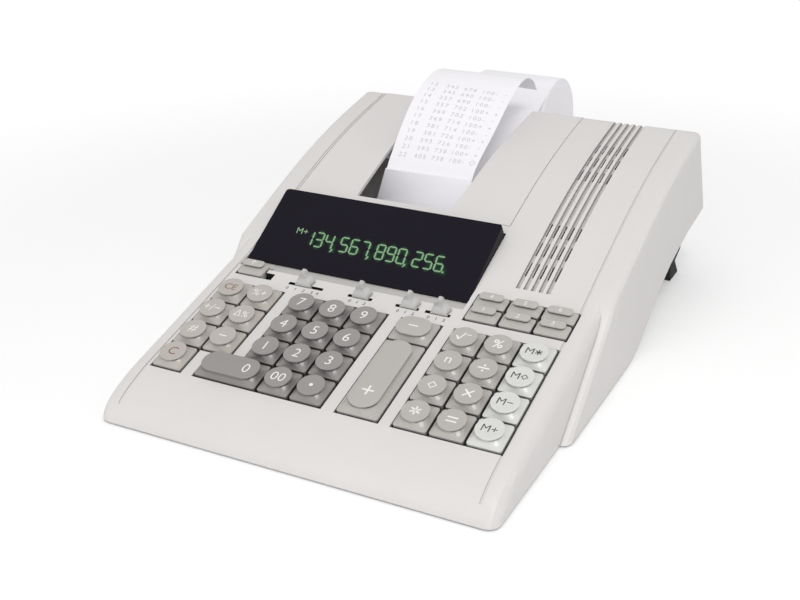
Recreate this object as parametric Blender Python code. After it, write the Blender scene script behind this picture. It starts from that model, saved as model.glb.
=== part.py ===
"""Printing calculator built from separate pieces: housing, keys, switches, display and printer.

Sizes are in metres. In the tables a depth (y) is counted from the front line of the keys and a
height (z) from the ground; DATUM_Y moves the depths into the part frame, whose origin is on the
ground under the middle of the machine.
"""
import math

import bmesh
import bpy
from mathutils import Matrix
from mathutils import Vector

for leftover in list(bpy.data.objects):
    bpy.data.objects.remove(leftover)

# Clearances
GAP = 0.0003
SLOT_CLEARANCE = 0.0003
OVERCUT = 0.0100
JOIN = 0.0006

# Frame
DATUM_Y = -0.1700

# Key columns, from left to right
KEY_PITCH = 0.0190
PLUS_WIDTH = 0.02384
NUMBER_GAP = 0.0075
PLUS_GAP = 0.0077
RIGHT_GAP = 0.0067
FUNCTION_SHIFT = 0.0008
LEFT_COLUMNS = 2
NUMBER_COLUMNS = 3
RIGHT_COLUMNS = 3
FIELD_SHIFT = 0.0009
FIELD_WIDTH = (LEFT_COLUMNS + NUMBER_COLUMNS + RIGHT_COLUMNS) * KEY_PITCH
FIELD_WIDTH += NUMBER_GAP + PLUS_GAP + PLUS_WIDTH + RIGHT_GAP
FIELD_X0 = FIELD_SHIFT - FIELD_WIDTH / 2
NUMBER_X0 = FIELD_X0 + LEFT_COLUMNS * KEY_PITCH + NUMBER_GAP
PLUS_X0 = NUMBER_X0 + NUMBER_COLUMNS * KEY_PITCH + PLUS_GAP
RIGHT_X0 = PLUS_X0 + PLUS_WIDTH + RIGHT_GAP
FIELD_X1 = RIGHT_X0 + RIGHT_COLUMNS * KEY_PITCH
LEFT_XS = tuple(FIELD_X0 + (column + 0.5) * KEY_PITCH for column in range(LEFT_COLUMNS))
NUMBER_XS = tuple(NUMBER_X0 + (column + 0.5) * KEY_PITCH for column in range(NUMBER_COLUMNS))
RIGHT_XS = tuple(RIGHT_X0 + (column + 0.5) * KEY_PITCH for column in range(RIGHT_COLUMNS))
FUNCTION_XS = tuple(middle + FUNCTION_SHIFT for middle in RIGHT_XS)
WIDE_ZERO_X = NUMBER_X0
PLUS_X = PLUS_X0 + PLUS_WIDTH / 2

# Housing
WALL = 0.0025
DECK_SIDE = 0.0095
FIN_STEP = 0.0050
FRONT_HALF_WIDTH = FIELD_X1 + FUNCTION_SHIFT + DECK_SIDE
REAR_HALF_WIDTH = FRONT_HALF_WIDTH + FIN_STEP
EDGE_ROUND = 0.0060
FIN_ROUND = 0.0042
INNER_ROUND = 0.0040
EDGE_SEGMENTS = 3
LIP_Z = 0.0010
NOSE_LINE = (
    (-0.0300, 0.0010), (-0.0296, 0.0032), (-0.0283, 0.0058), (-0.0260, 0.0086), (-0.0226, 0.0113),
    (-0.0182, 0.0138), (-0.0130, 0.0162), (-0.0070, 0.0185), (-0.0010, 0.0206),
)
DECK_REAR = ((0.0960, 0.0467), (0.1030, 0.0488))
SHOULDER = (0.1120, 0.0528)
CREST_LINE = (
    (0.1120, 0.0528), (0.1300, 0.0602), (0.1510, 0.0686), (0.1690, 0.0754), (0.1870, 0.0817),
    (0.2040, 0.0869), (0.2200, 0.0911), (0.2350, 0.0945), (0.2480, 0.0971), (0.2600, 0.0993),
    (0.2680, 0.1008),
)
REAR_LINE = ((0.2712, 0.1001), (0.2725, 0.0980), (0.2740, 0.0940), (0.3000, 0.0450))
FIN_LINE = ((0.0500, 0.0010), (0.0760, 0.0212), (0.1040, 0.0438))
UNDERCUT_LINE = (
    (0.2880, 0.0434), (0.2600, 0.0405), (0.2390, 0.0365), (0.2220, 0.0325), (0.2050, 0.0262),
    (0.1900, 0.0188), (0.1740, 0.0100), (0.1620, 0.0043), (0.1500, 0.0010),
)
FRONT_BLOCK_REAR_Y = 0.1180
FRONT_BLOCK_REAR_Z = 0.0490

# Grooves in the housing
SEAM_INSET = 0.0100
SEAM_X = FRONT_HALF_WIDTH - SEAM_INSET
SEAM_WIDTH = 0.0012
SEAM_DEPTH = 0.00035
SEAM_FRONT_Y = -0.0245
SEAM_REAR_Y = 0.2690
VENT_COUNT = 5
VENT_PITCH = 0.00425
VENT_INSET = 0.0310
VENT_XS = tuple(FRONT_HALF_WIDTH - VENT_INSET - step * VENT_PITCH for step in range(VENT_COUNT))
VENT_WIDTH = 0.0024
VENT_DEPTH = 0.0016
VENT_FRONT_Y = 0.1100
VENT_THROUGH_STARTS = (0.1200, 0.1350, 0.1500, 0.2000, 0.2150, 0.2300)
VENT_THROUGH_LENGTH = 0.0100
VENT_THROUGH_WIDTH = 0.0012

# Key deck, a plane that rises to the rear
DECK_TILT = math.radians(15.0)
DECK_Z = 0.0210
ROW_PITCH = 0.0188
ROW_COUNT = 4
KEY_GAP = 0.0008
OPENING_MARGIN = 0.0003
FUNCTION_DEPTH = 0.0110
FUNCTION_SPACE = 0.0076
FUNCTION_FRONT_S = ROW_COUNT * ROW_PITCH + FUNCTION_SPACE
FEED_WIDTH = 0.0174
FEED_DEPTH = 0.0117
FEED_SHIFT = -0.0001
FEED_NOTCH = 0.0058
FEED_NOTCH_DEPTH = 0.0054
FEED_S = FUNCTION_FRONT_S + FUNCTION_DEPTH / 2
FEED_X = LEFT_XS[0] + FEED_SHIFT
WINDOW_Y = 0.0960
WINDOW_S = WINDOW_Y / math.cos(DECK_TILT)

# Key caps, heights counted from the deck plane
SKIRT_BOTTOM = -0.0035
SLAB_TOP = 0.0010
SLOPE_LIFT = 0.0021
NECK_LIFT = 0.0034
RIM_LIFT = 0.0043
CROWN_LIFT = 0.0049
DISH_LIFT = 0.0044
SLAB_CORNER = 0.0016
SLOPE_INSET_SHARE = 0.36
SLOPE_CORNER = 0.0046
DISC_RADIUS = 0.0072
NECK_INSET = 0.0009
CROWN_INSET = 0.0005
CAP_WALL = 0.0015
CAP_ROOF = 0.0008
STEM_HALF = 0.0020
STEM_BOTTOM = -0.0140
FUNCTION_TOP_DROP = 0.0009
FUNCTION_TOP_SHIFT = 0.0016
RING_ANGLES = (15.0, 45.0, 75.0)

# Key board under the deck
BOARD_TOP = -0.0104
BOARD_BOTTOM = -0.0120
BOARD_SIDE_ROOM = 0.0045
BOARD_HALF_WIDTH = FRONT_HALF_WIDTH - WALL - BOARD_SIDE_ROOM
BOARD_FRONT_S = -0.0020
BOARD_REAR_SPACE = 0.0212
BOARD_REAR_S = FUNCTION_FRONT_S + BOARD_REAR_SPACE
BOARD_EAR_LENGTH = 0.0040
BOARD_EAR_S = BOARD_REAR_S + BOARD_EAR_LENGTH

# Slide switches: knob, slot left end and slot right end as shares of the switches' stretch
SWITCH_SHARES = (
    ("slide_switch_1", 0.1798, 0.0965, 0.2939),
    ("slide_switch_2", 0.4956, 0.4254, 0.5614),
    ("slide_switch_3", 0.7500, 0.6798, 0.8070),
    ("slide_switch_4", 0.9079, 0.8333, 0.9675),
)
SLOT_LEAD = 0.0004
SLOT_FRONT_S = FUNCTION_FRONT_S - SLOT_LEAD
SLOT_DEPTH = 0.0022
SLOT_TO_CHANNEL = 0.0083
CHANNEL_UNDERCUT = 0.0008
CHANNEL_FRONT_S = SLOT_FRONT_S + SLOT_TO_CHANNEL
CHANNEL_REAR_S = WINDOW_S + CHANNEL_UNDERCUT
SWITCH_START = 0.0064
CHANNEL_OVERRUN = 0.0005
WINDOW_RIGHT_SPACE = 0.0040
WINDOW_X1 = PLUS_X0 + PLUS_WIDTH + WINDOW_RIGHT_SPACE
SWITCH_LEFT_X = FEED_X + FEED_WIDTH / 2 + SWITCH_START
CHANNEL_RIGHT_X = WINDOW_X1 + CHANNEL_OVERRUN
CHANNEL_FLOOR = -0.0032
SWITCH_TRAY_BOTTOM = -0.0056
SWITCH_TRAY_MARGIN = 0.0025
KNOB_HALF_WIDTH = 0.0056
KNOB_BASE = GAP
KNOB_SHOULDER = 0.0029
KNOB_WAIST = 0.0042
KNOB_TIP = 0.0087
KNOB_DEPTH = 0.0067
KNOB_FRONT_S = SLOT_FRONT_S
KNOB_REAR_S = KNOB_FRONT_S + KNOB_DEPTH
SHOULDER_INSET = 0.0008
SHOULDER_SETBACK = 0.0020
FINGER_HALF_WIDTH = 0.0023
TIP_HALF_WIDTH = 0.0014
FINGER_SETBACK = 0.0027
FINGER_LEAN = 0.0005
SWITCH_STEM_HALF = 0.0052
SWITCH_STEM_BOTTOM = -0.0072
SWITCH_PLATE_BOTTOM = -0.0088
SWITCH_PLATE_HALF = 0.0050

# Display window, in a plane of its own
WINDOW_Z = 0.0452
WINDOW_TILT = math.radians(31.7)
WINDOW_LENGTH = 0.0533
WINDOW_LEFT_SPACE = 0.0014
WINDOW_X0 = FIELD_X0 - WINDOW_LEFT_SPACE
CHANNEL_LEFT_X = WINDOW_X0 - CHANNEL_OVERRUN
WINDOW_PANE = 0.0022
WINDOW_SIDE = 0.0020
WINDOW_BACK_LENGTH = 0.0105
WINDOW_EDGE_ROUND = 0.0008
WINDOW_SEAT = 0.0012
TRAY_MARGIN = 0.0040
TRAY_DEPTH = 0.0132
TRAY_FLOOR = 0.0110
TUBE_END_SPACE = 0.0132
TUBE_X0 = WINDOW_X0 + TUBE_END_SPACE
TUBE_X1 = WINDOW_X1 - TUBE_END_SPACE
TUBE_FRONT_S = 0.0110
TUBE_REAR_SPACE = 0.0093
TUBE_REAR_S = WINDOW_LENGTH - TUBE_REAR_SPACE
TUBE_DEPTH = 0.0060
TUBE_LEG_HALF = 0.0020

# Paper width and place, which the printer, the cover's opening and the holder follow
PAPER_WIDTH = 0.0570
PAPER_SHIFT = 0.0011
PAPER_MIDDLE_X = (WINDOW_X0 + WINDOW_X1) / 2 + PAPER_SHIFT
PAPER_X0 = PAPER_MIDDLE_X - PAPER_WIDTH / 2
PAPER_X1 = PAPER_MIDDLE_X + PAPER_WIDTH / 2

# Printer cover
COVER_LEFT_STEP = 0.0005
COVER_RIGHT_STEP = 0.0003
COVER_X0 = WINDOW_X0 + COVER_LEFT_STEP
COVER_X1 = WINDOW_X1 + COVER_RIGHT_STEP
COVER_FRONT_Y = 0.1515
COVER_THICK = 0.0022
COVER_LEDGE = 0.0034
LEDGE_THICK = 0.0024
OPENING_FRONT_Y = 0.1555
OPENING_FRONT_SPACE = 0.0025
OPENING_REAR_SPACE = 0.0065
OPENING_FRONT_XS = (PAPER_X0 - OPENING_FRONT_SPACE, PAPER_X1 + OPENING_FRONT_SPACE)
OPENING_REAR_XS = (PAPER_X0 - OPENING_REAR_SPACE, PAPER_X1 + OPENING_REAR_SPACE)
HINGE_Y = 0.2698
HINGE_Z = 0.0984
BARREL_RADIUS = 0.0024
BARREL_CLEARANCE = 0.0004
BARREL_STEPS = 8
PIN_RADIUS = 0.0012
PIN_LENGTH = 0.0024
PIN_HOLE_RADIUS = 0.0015
HINGE_BOSS_WIDTH = 0.0042
HINGE_BOSS_DROP = 0.0066
HINGE_BOSS_FRONT = 0.0074
NOTCH_Z = 0.0700
SHELL_OPENING_FRONT_Y = 0.1552
SHELL_OPENING_REAR_Y = 0.2640

# Printer
FRAME_SIDE_SPACE = 0.0060
FRAME_X0 = PAPER_X0 - FRAME_SIDE_SPACE
FRAME_X1 = PAPER_X1 + FRAME_SIDE_SPACE
FRAME_PLATE = 0.0020
FRAME_Y0 = 0.1575
FRAME_Y1 = 0.2040
FRAME_Z0 = 0.0325
FRAME_Z1 = 0.0600
FRAME_CUT = 0.0090
PLATEN_Y = 0.1800
PLATEN_Z = 0.0497
PLATEN_RADIUS = 0.0085
PLATEN_OVERRUN = 0.0020
PLATEN_X0 = PAPER_X0 - PLATEN_OVERRUN
PLATEN_X1 = PAPER_X1 + PLATEN_OVERRUN
AXLE_RADIUS = 0.0025
AXLE_OVERRUN = 0.0018
AXLE_X0 = FRAME_X0 - AXLE_OVERRUN
AXLE_X1 = FRAME_X1 + AXLE_OVERRUN
GUIDE_Y = 0.1625
GUIDE_Z = 0.0445
GUIDE_RADIUS = 0.0020
HEAD_START = 0.0170
HEAD_WIDTH = 0.0180
HEAD_X0 = PAPER_X0 + HEAD_START
HEAD_X1 = HEAD_X0 + HEAD_WIDTH
HEAD_Y0 = 0.1590
HEAD_Y1 = 0.1672
HEAD_Z0 = 0.0400
HEAD_Z1 = 0.0560
HEAD_NOSE_Y = 0.1703
HEAD_NOSE_HALF = 0.0030

# Paper
PAPER_THICK = 0.0003
PAPER_LIFT = 0.0004
EXIT_ANGLE = math.radians(54.0)
STRIP_LEFT = (
    (0.1901, 0.0789), (0.1968, 0.0866), (0.2041, 0.0945), (0.2117, 0.1016), (0.2199, 0.1083),
    (0.2297, 0.1147), (0.2405, 0.1196), (0.2530, 0.1226), (0.2650, 0.1228), (0.2760, 0.1196),
    (0.2840, 0.1134),
)
STRIP_RIGHT = (
    (0.1901, 0.0789), (0.1978, 0.0856), (0.2072, 0.0910), (0.2180, 0.0966), (0.2285, 0.1025),
    (0.2395, 0.1090), (0.2510, 0.1148), (0.2640, 0.1196), (0.2755, 0.1204), (0.2860, 0.1160),
    (0.2930, 0.1085),
)
ROLL_Y = 0.3350
ROLL_Z = 0.0710
ROLL_RADIUS = 0.0350
ROLL_BORE = 0.0066
ROLL_EDGE = 0.0006
ROLL_SIDES = 44
WRAP_STEPS = 9

# Tear bar in front of the strip
BAR_OVERRUN = 0.0037
BAR_X0 = PAPER_X0 - BAR_OVERRUN
BAR_X1 = PAPER_X1 + BAR_OVERRUN
BAR_THICK = 0.0011
BAR_LIFT = 0.0007
BAR_START = 0.0050
BAR_END = 0.0282
TOOTH_COUNT = 20
TOOTH_LENGTH = 0.0011

# Paper holder
HOLDER_TOP_Z = 0.0660
HOLDER_BOTTOM_Z = 0.0500
HOLDER_THICK = 0.0030
ARM_THICK = 0.0028
ARM_CLEARANCE = 0.0014
ARM_END_RADIUS = 0.0095
SPINDLE_RADIUS = 0.0062
TONGUE_INSET = 0.0100
TONGUE_XS = (PAPER_X0 + TONGUE_INSET, PAPER_X1 - TONGUE_INSET)
TONGUE_HALF = 0.0030
TONGUE_LENGTH = 0.0058
TONGUE_THICK = 0.0020
TONGUE_Z = 0.0580

# Base shell
BASE_THICK = 0.0024
BASE_LIFT = 0.0006
BASE_FRONT_Y = -0.0258
BASE_CORNER = 0.0048
BASE_STEP_Y = 0.0640
BASE_REAR_Y = 0.2925
PAD_HALF = 0.0060
PAD_Y = -0.0120
PAD_INSET = 0.0170
PAD_X = FRONT_HALF_WIDTH - PAD_INSET
BOARD_POST_INSET = 0.0038
BOARD_POST_X = BOARD_HALF_WIDTH - BOARD_POST_INSET
BOARD_POST_END = 0.0040
BOARD_POST_SS = (BOARD_POST_END, BOARD_REAR_S - BOARD_POST_END)
POST_HALF = 0.0032
FRAME_POST_INSET = 0.0070
FRAME_POST_XS = (FRAME_X0 + FRAME_POST_INSET, FRAME_X1 - FRAME_POST_INSET)
FRAME_POST_YS = (0.1640, 0.1960)
VENT_SLOT_COUNT = 6
VENT_SLOT_PITCH = 0.0090
VENT_SLOT_HALF = 0.0015
VENT_SLOT_X0 = -0.0300
VENT_SLOT_X1 = 0.0300
VENT_SLOT_Y = 0.0600

# Transformer
CORE_WIDTH = 0.0410
CORE_INSET = 0.0170
CORE_X1 = FRONT_HALF_WIDTH - CORE_INSET
CORE_X0 = CORE_X1 - CORE_WIDTH
CORE_Y0 = 0.1150
CORE_Y1 = 0.1390
CORE_Z1 = 0.0400
COIL_SIDE = 0.0070
COIL_LENGTH = 0.0090
CORE_STAND = 0.0020

# Rear feet
FOOT_WIDTH = 0.0200
FOOT_INSET = 0.0110
FOOT_X1 = REAR_HALF_WIDTH - FOOT_INSET
FOOT_X0 = FOOT_X1 - FOOT_WIDTH
FOOT_LINE = (
    (0.2720, 0.0000), (0.2890, 0.0000), (0.2896, 0.0010), (0.2800, 0.0116), (0.2914, 0.0156),
)
FOOT_TOP_YS = (0.2914, 0.2600)

# Colours
IVORY = (0.735, 0.715, 0.690)
IVORY_DARK = (0.560, 0.545, 0.525)
NUMBER_GREY = (0.270, 0.262, 0.258)
RIGHT_GREY = (0.405, 0.392, 0.370)
LEFT_GREY = (0.450, 0.435, 0.410)
MEMORY_GREY = (0.700, 0.715, 0.715)
SMALL_GREY = (0.380, 0.368, 0.350)
KNOB_GREY = (0.560, 0.553, 0.545)
TINTED_BLACK = (0.014, 0.013, 0.020)
TUBE_GREEN = (0.060, 0.180, 0.075)
RUBBER_BLACK = (0.022, 0.021, 0.023)
BOARD_GREEN = (0.040, 0.150, 0.060)
STEEL_GREY = (0.450, 0.450, 0.460)
COPPER_BROWN = (0.420, 0.180, 0.070)
PAPER_WHITE = (0.880, 0.870, 0.890)
CLEAR_PLASTIC = (0.850, 0.860, 0.870)

PARTS = bpy.data.collections.new("printing_calculator")
CUTTERS = bpy.data.collections.new("cutters")
bpy.context.scene.collection.children.link(PARTS)
bpy.context.scene.collection.children.link(CUTTERS)


# Frames: deck and window coordinates are x, distance up the slope, height over the plane
def tilted_frame(depth, height, tilt):
    place = Matrix.Translation((0.0, depth + DATUM_Y, height))
    return place @ Matrix.Rotation(tilt, 4, "X")


DECK = tilted_frame(0.0, DECK_Z, DECK_TILT)
WINDOW = tilted_frame(WINDOW_Y, WINDOW_Z, WINDOW_TILT)
LEVEL = Matrix.Translation((0.0, DATUM_Y, 0.0))


# Mesh helpers
def new_object(name, mesh_data, frame=None):
    mesh = bpy.data.meshes.new(name)
    bmesh.ops.recalc_face_normals(mesh_data, faces=mesh_data.faces)
    mesh_data.to_mesh(mesh)
    mesh_data.free()
    made = bpy.data.objects.new(name, mesh)
    CUTTERS.objects.link(made)
    if frame is not None:
        made.matrix_world = frame
    return made


def box(name, xs, ys, zs, frame=LEVEL):
    work = bmesh.new()
    bmesh.ops.create_cube(work, size=1.0)
    size = (xs[1] - xs[0], ys[1] - ys[0], zs[1] - zs[0])
    middle = ((xs[0] + xs[1]) / 2, (ys[0] + ys[1]) / 2, (zs[0] + zs[1]) / 2)
    bmesh.ops.scale(work, vec=size, verts=work.verts)
    bmesh.ops.translate(work, vec=middle, verts=work.verts)
    return new_object(name, work, frame)


def extruded(name, outline, xs, frame=LEVEL):
    work = bmesh.new()
    corners = [work.verts.new((xs[0], depth, height)) for depth, height in outline]
    side = work.faces.new(corners)
    grown = bmesh.ops.extrude_face_region(work, geom=[side])
    moved = [item for item in grown["geom"] if isinstance(item, bmesh.types.BMVert)]
    bmesh.ops.translate(work, vec=(xs[1] - xs[0], 0.0, 0.0), verts=moved)
    return new_object(name, work, frame)


def slab(name, plan, zs, frame=LEVEL):
    work = bmesh.new()
    floor = work.faces.new([work.verts.new((x, y, zs[0])) for x, y in plan])
    grown = bmesh.ops.extrude_face_region(work, geom=[floor])
    moved = [item for item in grown["geom"] if isinstance(item, bmesh.types.BMVert)]
    bmesh.ops.translate(work, vec=(0.0, 0.0, zs[1] - zs[0]), verts=moved)
    return new_object(name, work, frame)


def rod(name, centre, radius, xs, sides=16, frame=LEVEL):
    outline = []
    for step in range(sides):
        angle = 2 * math.pi * (step + 0.5) / sides
        outline.append((centre[0] + radius * math.cos(angle), centre[1] + radius * math.sin(angle)))
    return extruded(name, outline, xs, frame)


def rounded_edges(target, first, count, width, segments):
    work = bmesh.new()
    work.from_mesh(target.data)
    work.verts.ensure_lookup_table()
    total = len(work.verts) // 2
    chosen = []
    for edge in work.edges:
        low, high = sorted((edge.verts[0].index, edge.verts[1].index))
        same_end = (low < total) == (high < total)
        step = (high % total) - (low % total)
        if same_end and step == 1 and first <= low % total < first + count:
            chosen.append(edge)
    bmesh.ops.bevel(work, geom=chosen, offset=width, segments=segments, affect="EDGES",
                    profile=0.5, clamp_overlap=False)
    bmesh.ops.recalc_face_normals(work, faces=work.faces)
    work.to_mesh(target.data)
    work.free()


def combine(target, tool, operation):
    modifier = target.modifiers.new(operation, "BOOLEAN")
    modifier.object = tool
    modifier.operation = operation
    modifier.solver = "EXACT"
    graph = bpy.context.evaluated_depsgraph_get()
    graph.update()
    result = bpy.data.meshes.new_from_object(target.evaluated_get(graph))
    target.modifiers.clear()
    spent = target.data
    target.data = result
    bpy.data.meshes.remove(spent)
    bpy.data.objects.remove(tool)


def cut(target, tool):
    combine(target, tool, "DIFFERENCE")


def add(target, piece):
    combine(target, piece, "UNION")


def finish(target, colour, roughness=0.5, origin=None, metallic=0.0, alpha=1.0):
    material = bpy.data.materials.new(target.name)
    material.use_nodes = True
    shader = material.node_tree.nodes["Principled BSDF"]
    shader.inputs["Base Color"].default_value = (colour[0], colour[1], colour[2], 1.0)
    shader.inputs["Roughness"].default_value = roughness
    shader.inputs["Metallic"].default_value = metallic
    shader.inputs["Alpha"].default_value = alpha
    target.data.materials.clear()
    target.data.materials.append(material)
    for face in target.data.polygons:
        face.material_index = 0
    if origin is not None:
        place = Matrix.Translation(origin)
        target.data.transform(place.inverted() @ target.matrix_world)
        target.matrix_world = place
    CUTTERS.objects.unlink(target)
    PARTS.objects.link(target)


# Lines of the housing
def inset(line, distance):
    moved = []
    for index, point in enumerate(line):
        before = line[max(index - 1, 0)]
        after = line[min(index + 1, len(line) - 1)]
        first = Vector((point[0] - before[0], point[1] - before[1]))
        second = Vector((after[0] - point[0], after[1] - point[1]))
        if first.length == 0.0:
            first = second
        if second.length == 0.0:
            second = first
        first.normalize()
        second.normalize()
        normal_a = Vector((first.y, -first.x))
        normal_b = Vector((second.y, -second.x))
        bisector = (normal_a + normal_b).normalized()
        reach = distance / max(bisector.dot(normal_a), 0.5)
        moved.append((point[0] + bisector.x * reach, point[1] + bisector.y * reach))
    return moved


def height_on(line, depth):
    for start, end in zip(line[:-1], line[1:]):
        if start[0] <= depth <= end[0]:
            share = (depth - start[0]) / (end[0] - start[0])
            return start[1] + share * (end[1] - start[1])
    return line[-1][1]


TOP_LINE = NOSE_LINE + DECK_REAR + CREST_LINE
FRONT_TOP = NOSE_LINE + DECK_REAR + (SHOULDER,)
WALL_LINE = FIN_LINE + CREST_LINE + REAR_LINE


def band(name, xs, ys, lift, drop, line=None):
    """A strip that follows the top of the housing between two heights over and under it."""
    source = CREST_LINE if line is None else line
    inner = [point for point in source if ys[0] < point[0] < ys[1]]
    base = [(ys[0], height_on(source, ys[0]))] + inner + [(ys[1], height_on(source, ys[1]))]
    outline = inset(base, -lift) + list(reversed(inset(base, drop)))
    return extruded(name, outline, xs)


def block_span(columns, first_row, last_row):
    left = columns[0] - KEY_PITCH / 2 - OPENING_MARGIN
    right = columns[-1] + KEY_PITCH / 2 + OPENING_MARGIN
    front = (first_row - 1) * ROW_PITCH - OPENING_MARGIN
    rear = last_row * ROW_PITCH + OPENING_MARGIN
    return (left, right), (front, rear)


def switch_places():
    """Each switch's name with the middle of its knob and the two ends of its slot."""
    length = CHANNEL_RIGHT_X - SWITCH_LEFT_X
    return [(name, *(SWITCH_LEFT_X + share * length for share in shares))
            for name, *shares in SWITCH_SHARES]


def build_upper_shell():
    front_outline = list(FRONT_TOP)
    front_outline += [(FRONT_BLOCK_REAR_Y, FRONT_BLOCK_REAR_Z), (FRONT_BLOCK_REAR_Y, LIP_Z)]
    shell = extruded("upper_shell", front_outline, (-FRONT_HALF_WIDTH, FRONT_HALF_WIDTH))
    rounded_edges(shell, 0, len(FRONT_TOP) - 1, EDGE_ROUND, EDGE_SEGMENTS)
    rear_outline = list(WALL_LINE) + list(UNDERCUT_LINE)
    rear = extruded("rear_block", rear_outline, (-REAR_HALF_WIDTH, REAR_HALF_WIDTH))
    rounded_edges(rear, 0, len(WALL_LINE) - 1, FIN_ROUND, EDGE_SEGMENTS)
    add(shell, rear)

    # Hollow inside
    front_inner = inset(FRONT_TOP, WALL)
    front_hollow = [(front_inner[0][0], -OVERCUT)] + front_inner[:-1]
    front_hollow += [(FRONT_BLOCK_REAR_Y, FRONT_BLOCK_REAR_Z - WALL), (FRONT_BLOCK_REAR_Y, -OVERCUT)]
    half = FRONT_HALF_WIDTH - WALL
    hollow = extruded("front_hollow", front_hollow, (-half, half))
    rounded_edges(hollow, 1, len(front_inner) - 2, INNER_ROUND, 2)
    cut(shell, hollow)
    rear_inner = inset(WALL_LINE, WALL)
    rear_hollow = [(rear_inner[0][0], -OVERCUT)] + rear_inner + [(rear_inner[-1][0], -OVERCUT)]
    half = REAR_HALF_WIDTH - WALL
    hollow = extruded("rear_hollow", rear_hollow, (-half, half))
    rounded_edges(hollow, 1, len(rear_inner) - 1, INNER_ROUND / 2, 2)
    cut(shell, hollow)

    # Thicker places inside, for the switches, the display and the cover
    tray_xs = (CHANNEL_LEFT_X - SWITCH_TRAY_MARGIN, CHANNEL_RIGHT_X + SWITCH_TRAY_MARGIN)
    tray_ss = (SLOT_FRONT_S - SWITCH_TRAY_MARGIN, CHANNEL_REAR_S + SWITCH_TRAY_MARGIN)
    add(shell, box("switch_tray", tray_xs, tray_ss, (SWITCH_TRAY_BOTTOM, -WALL + JOIN), DECK))
    window_xs = (WINDOW_X0 + TRAY_MARGIN, WINDOW_X1 - TRAY_MARGIN)
    display_tray = box("display_tray", window_xs, (TRAY_MARGIN, WINDOW_LENGTH + TRAY_MARGIN / 2),
                       (-TRAY_DEPTH, -WINDOW_PANE * 4), WINDOW)
    add(shell, display_tray)
    ledge_xs = (COVER_X0 - COVER_LEDGE, COVER_X1 + COVER_LEDGE)
    ledge_ys = (COVER_FRONT_Y - COVER_LEDGE, HINGE_Y - HINGE_BOSS_FRONT)
    add(shell, band("cover_ledge", ledge_xs, ledge_ys, -WALL + JOIN, WALL + LEDGE_THICK))
    boss_ys = (HINGE_Y - HINGE_BOSS_FRONT, HINGE_Y + PIN_HOLE_RADIUS)
    boss_zs = (HINGE_Z - HINGE_BOSS_DROP, HINGE_Z + PIN_HOLE_RADIUS)
    for start, sign in ((COVER_X0, -1.0), (COVER_X1, 1.0)):
        boss_xs = sorted((start, start + sign * HINGE_BOSS_WIDTH))
        add(shell, box("hinge_boss", boss_xs, boss_ys, boss_zs))

    # Recess and opening for the cover, with room for its hinge barrels
    cut(shell, extruded("cover_recess", recess_outline(), (COVER_X0, COVER_X1)))
    opening_xs = (COVER_X0 + COVER_LEDGE, COVER_X1 - COVER_LEDGE)
    opening_ys = (SHELL_OPENING_FRONT_Y, SHELL_OPENING_REAR_Y)
    cut(shell, band("printer_opening", opening_xs, opening_ys, OVERCUT, OVERCUT))
    hinge = (HINGE_Y, HINGE_Z)
    pin_xs = (COVER_X0 - PIN_LENGTH - GAP, COVER_X1 + PIN_LENGTH + GAP)
    cut(shell, rod("pin_holes", hinge, PIN_HOLE_RADIUS, pin_xs, sides=12))
    notch_ys = (SHELL_OPENING_REAR_Y - OVERCUT, REAR_LINE[-1][0] + OVERCUT)
    cut(shell, box("paper_notch", OPENING_REAR_XS, notch_ys, (NOTCH_Z, HINGE_Z + OVERCUT)))

    # Key openings
    spans = [
        block_span(LEFT_XS, 2, ROW_COUNT), block_span(LEFT_XS[:1], 1, 2), block_span(NUMBER_XS, 1, ROW_COUNT),
        block_span((WIDE_ZERO_X - KEY_PITCH / 2, NUMBER_XS[0]), 1, 1), block_span(RIGHT_XS, 1, ROW_COUNT),
    ]
    plus_half = PLUS_WIDTH / 2 + OPENING_MARGIN
    spans.append(((PLUS_X - plus_half, PLUS_X + plus_half), spans[-1][1]))
    function_rear = FUNCTION_FRONT_S + 2 * FUNCTION_DEPTH + OPENING_MARGIN
    function_half = KEY_PITCH / 2 + OPENING_MARGIN
    function_xs = (FUNCTION_XS[0] - function_half, FUNCTION_XS[-1] + function_half)
    spans.append((function_xs, (FUNCTION_FRONT_S - OPENING_MARGIN, function_rear)))
    feed_half = FEED_WIDTH / 2
    feed_front = FEED_S - FEED_DEPTH / 2
    feed_xs = (FEED_X - feed_half - OPENING_MARGIN, FEED_X + feed_half + OPENING_MARGIN)
    spans.append((feed_xs, (feed_front, feed_front + FEED_DEPTH)))
    spans.append(((FEED_X, feed_xs[1] + FEED_NOTCH), (feed_front, feed_front + FEED_NOTCH_DEPTH)))
    for xs, ss in spans:
        cut(shell, box("key_opening", xs, ss, (-OVERCUT, OVERCUT), DECK))

    # Channel in front of the display, and the switches' slots
    channel_xs = (CHANNEL_LEFT_X, CHANNEL_RIGHT_X)
    channel_ss = (CHANNEL_FRONT_S, CHANNEL_REAR_S)
    cut(shell, box("channel", channel_xs, channel_ss, (CHANNEL_FLOOR, OVERCUT), DECK))
    for name, middle, left, right in switch_places():
        slot_xs = (left + KNOB_HALF_WIDTH - SWITCH_STEM_HALF, right - KNOB_HALF_WIDTH + SWITCH_STEM_HALF)
        slot_ss = (SLOT_FRONT_S, SLOT_FRONT_S + SLOT_DEPTH)
        cut(shell, box("slot", slot_xs, slot_ss, (-OVERCUT, OVERCUT), DECK))

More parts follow.
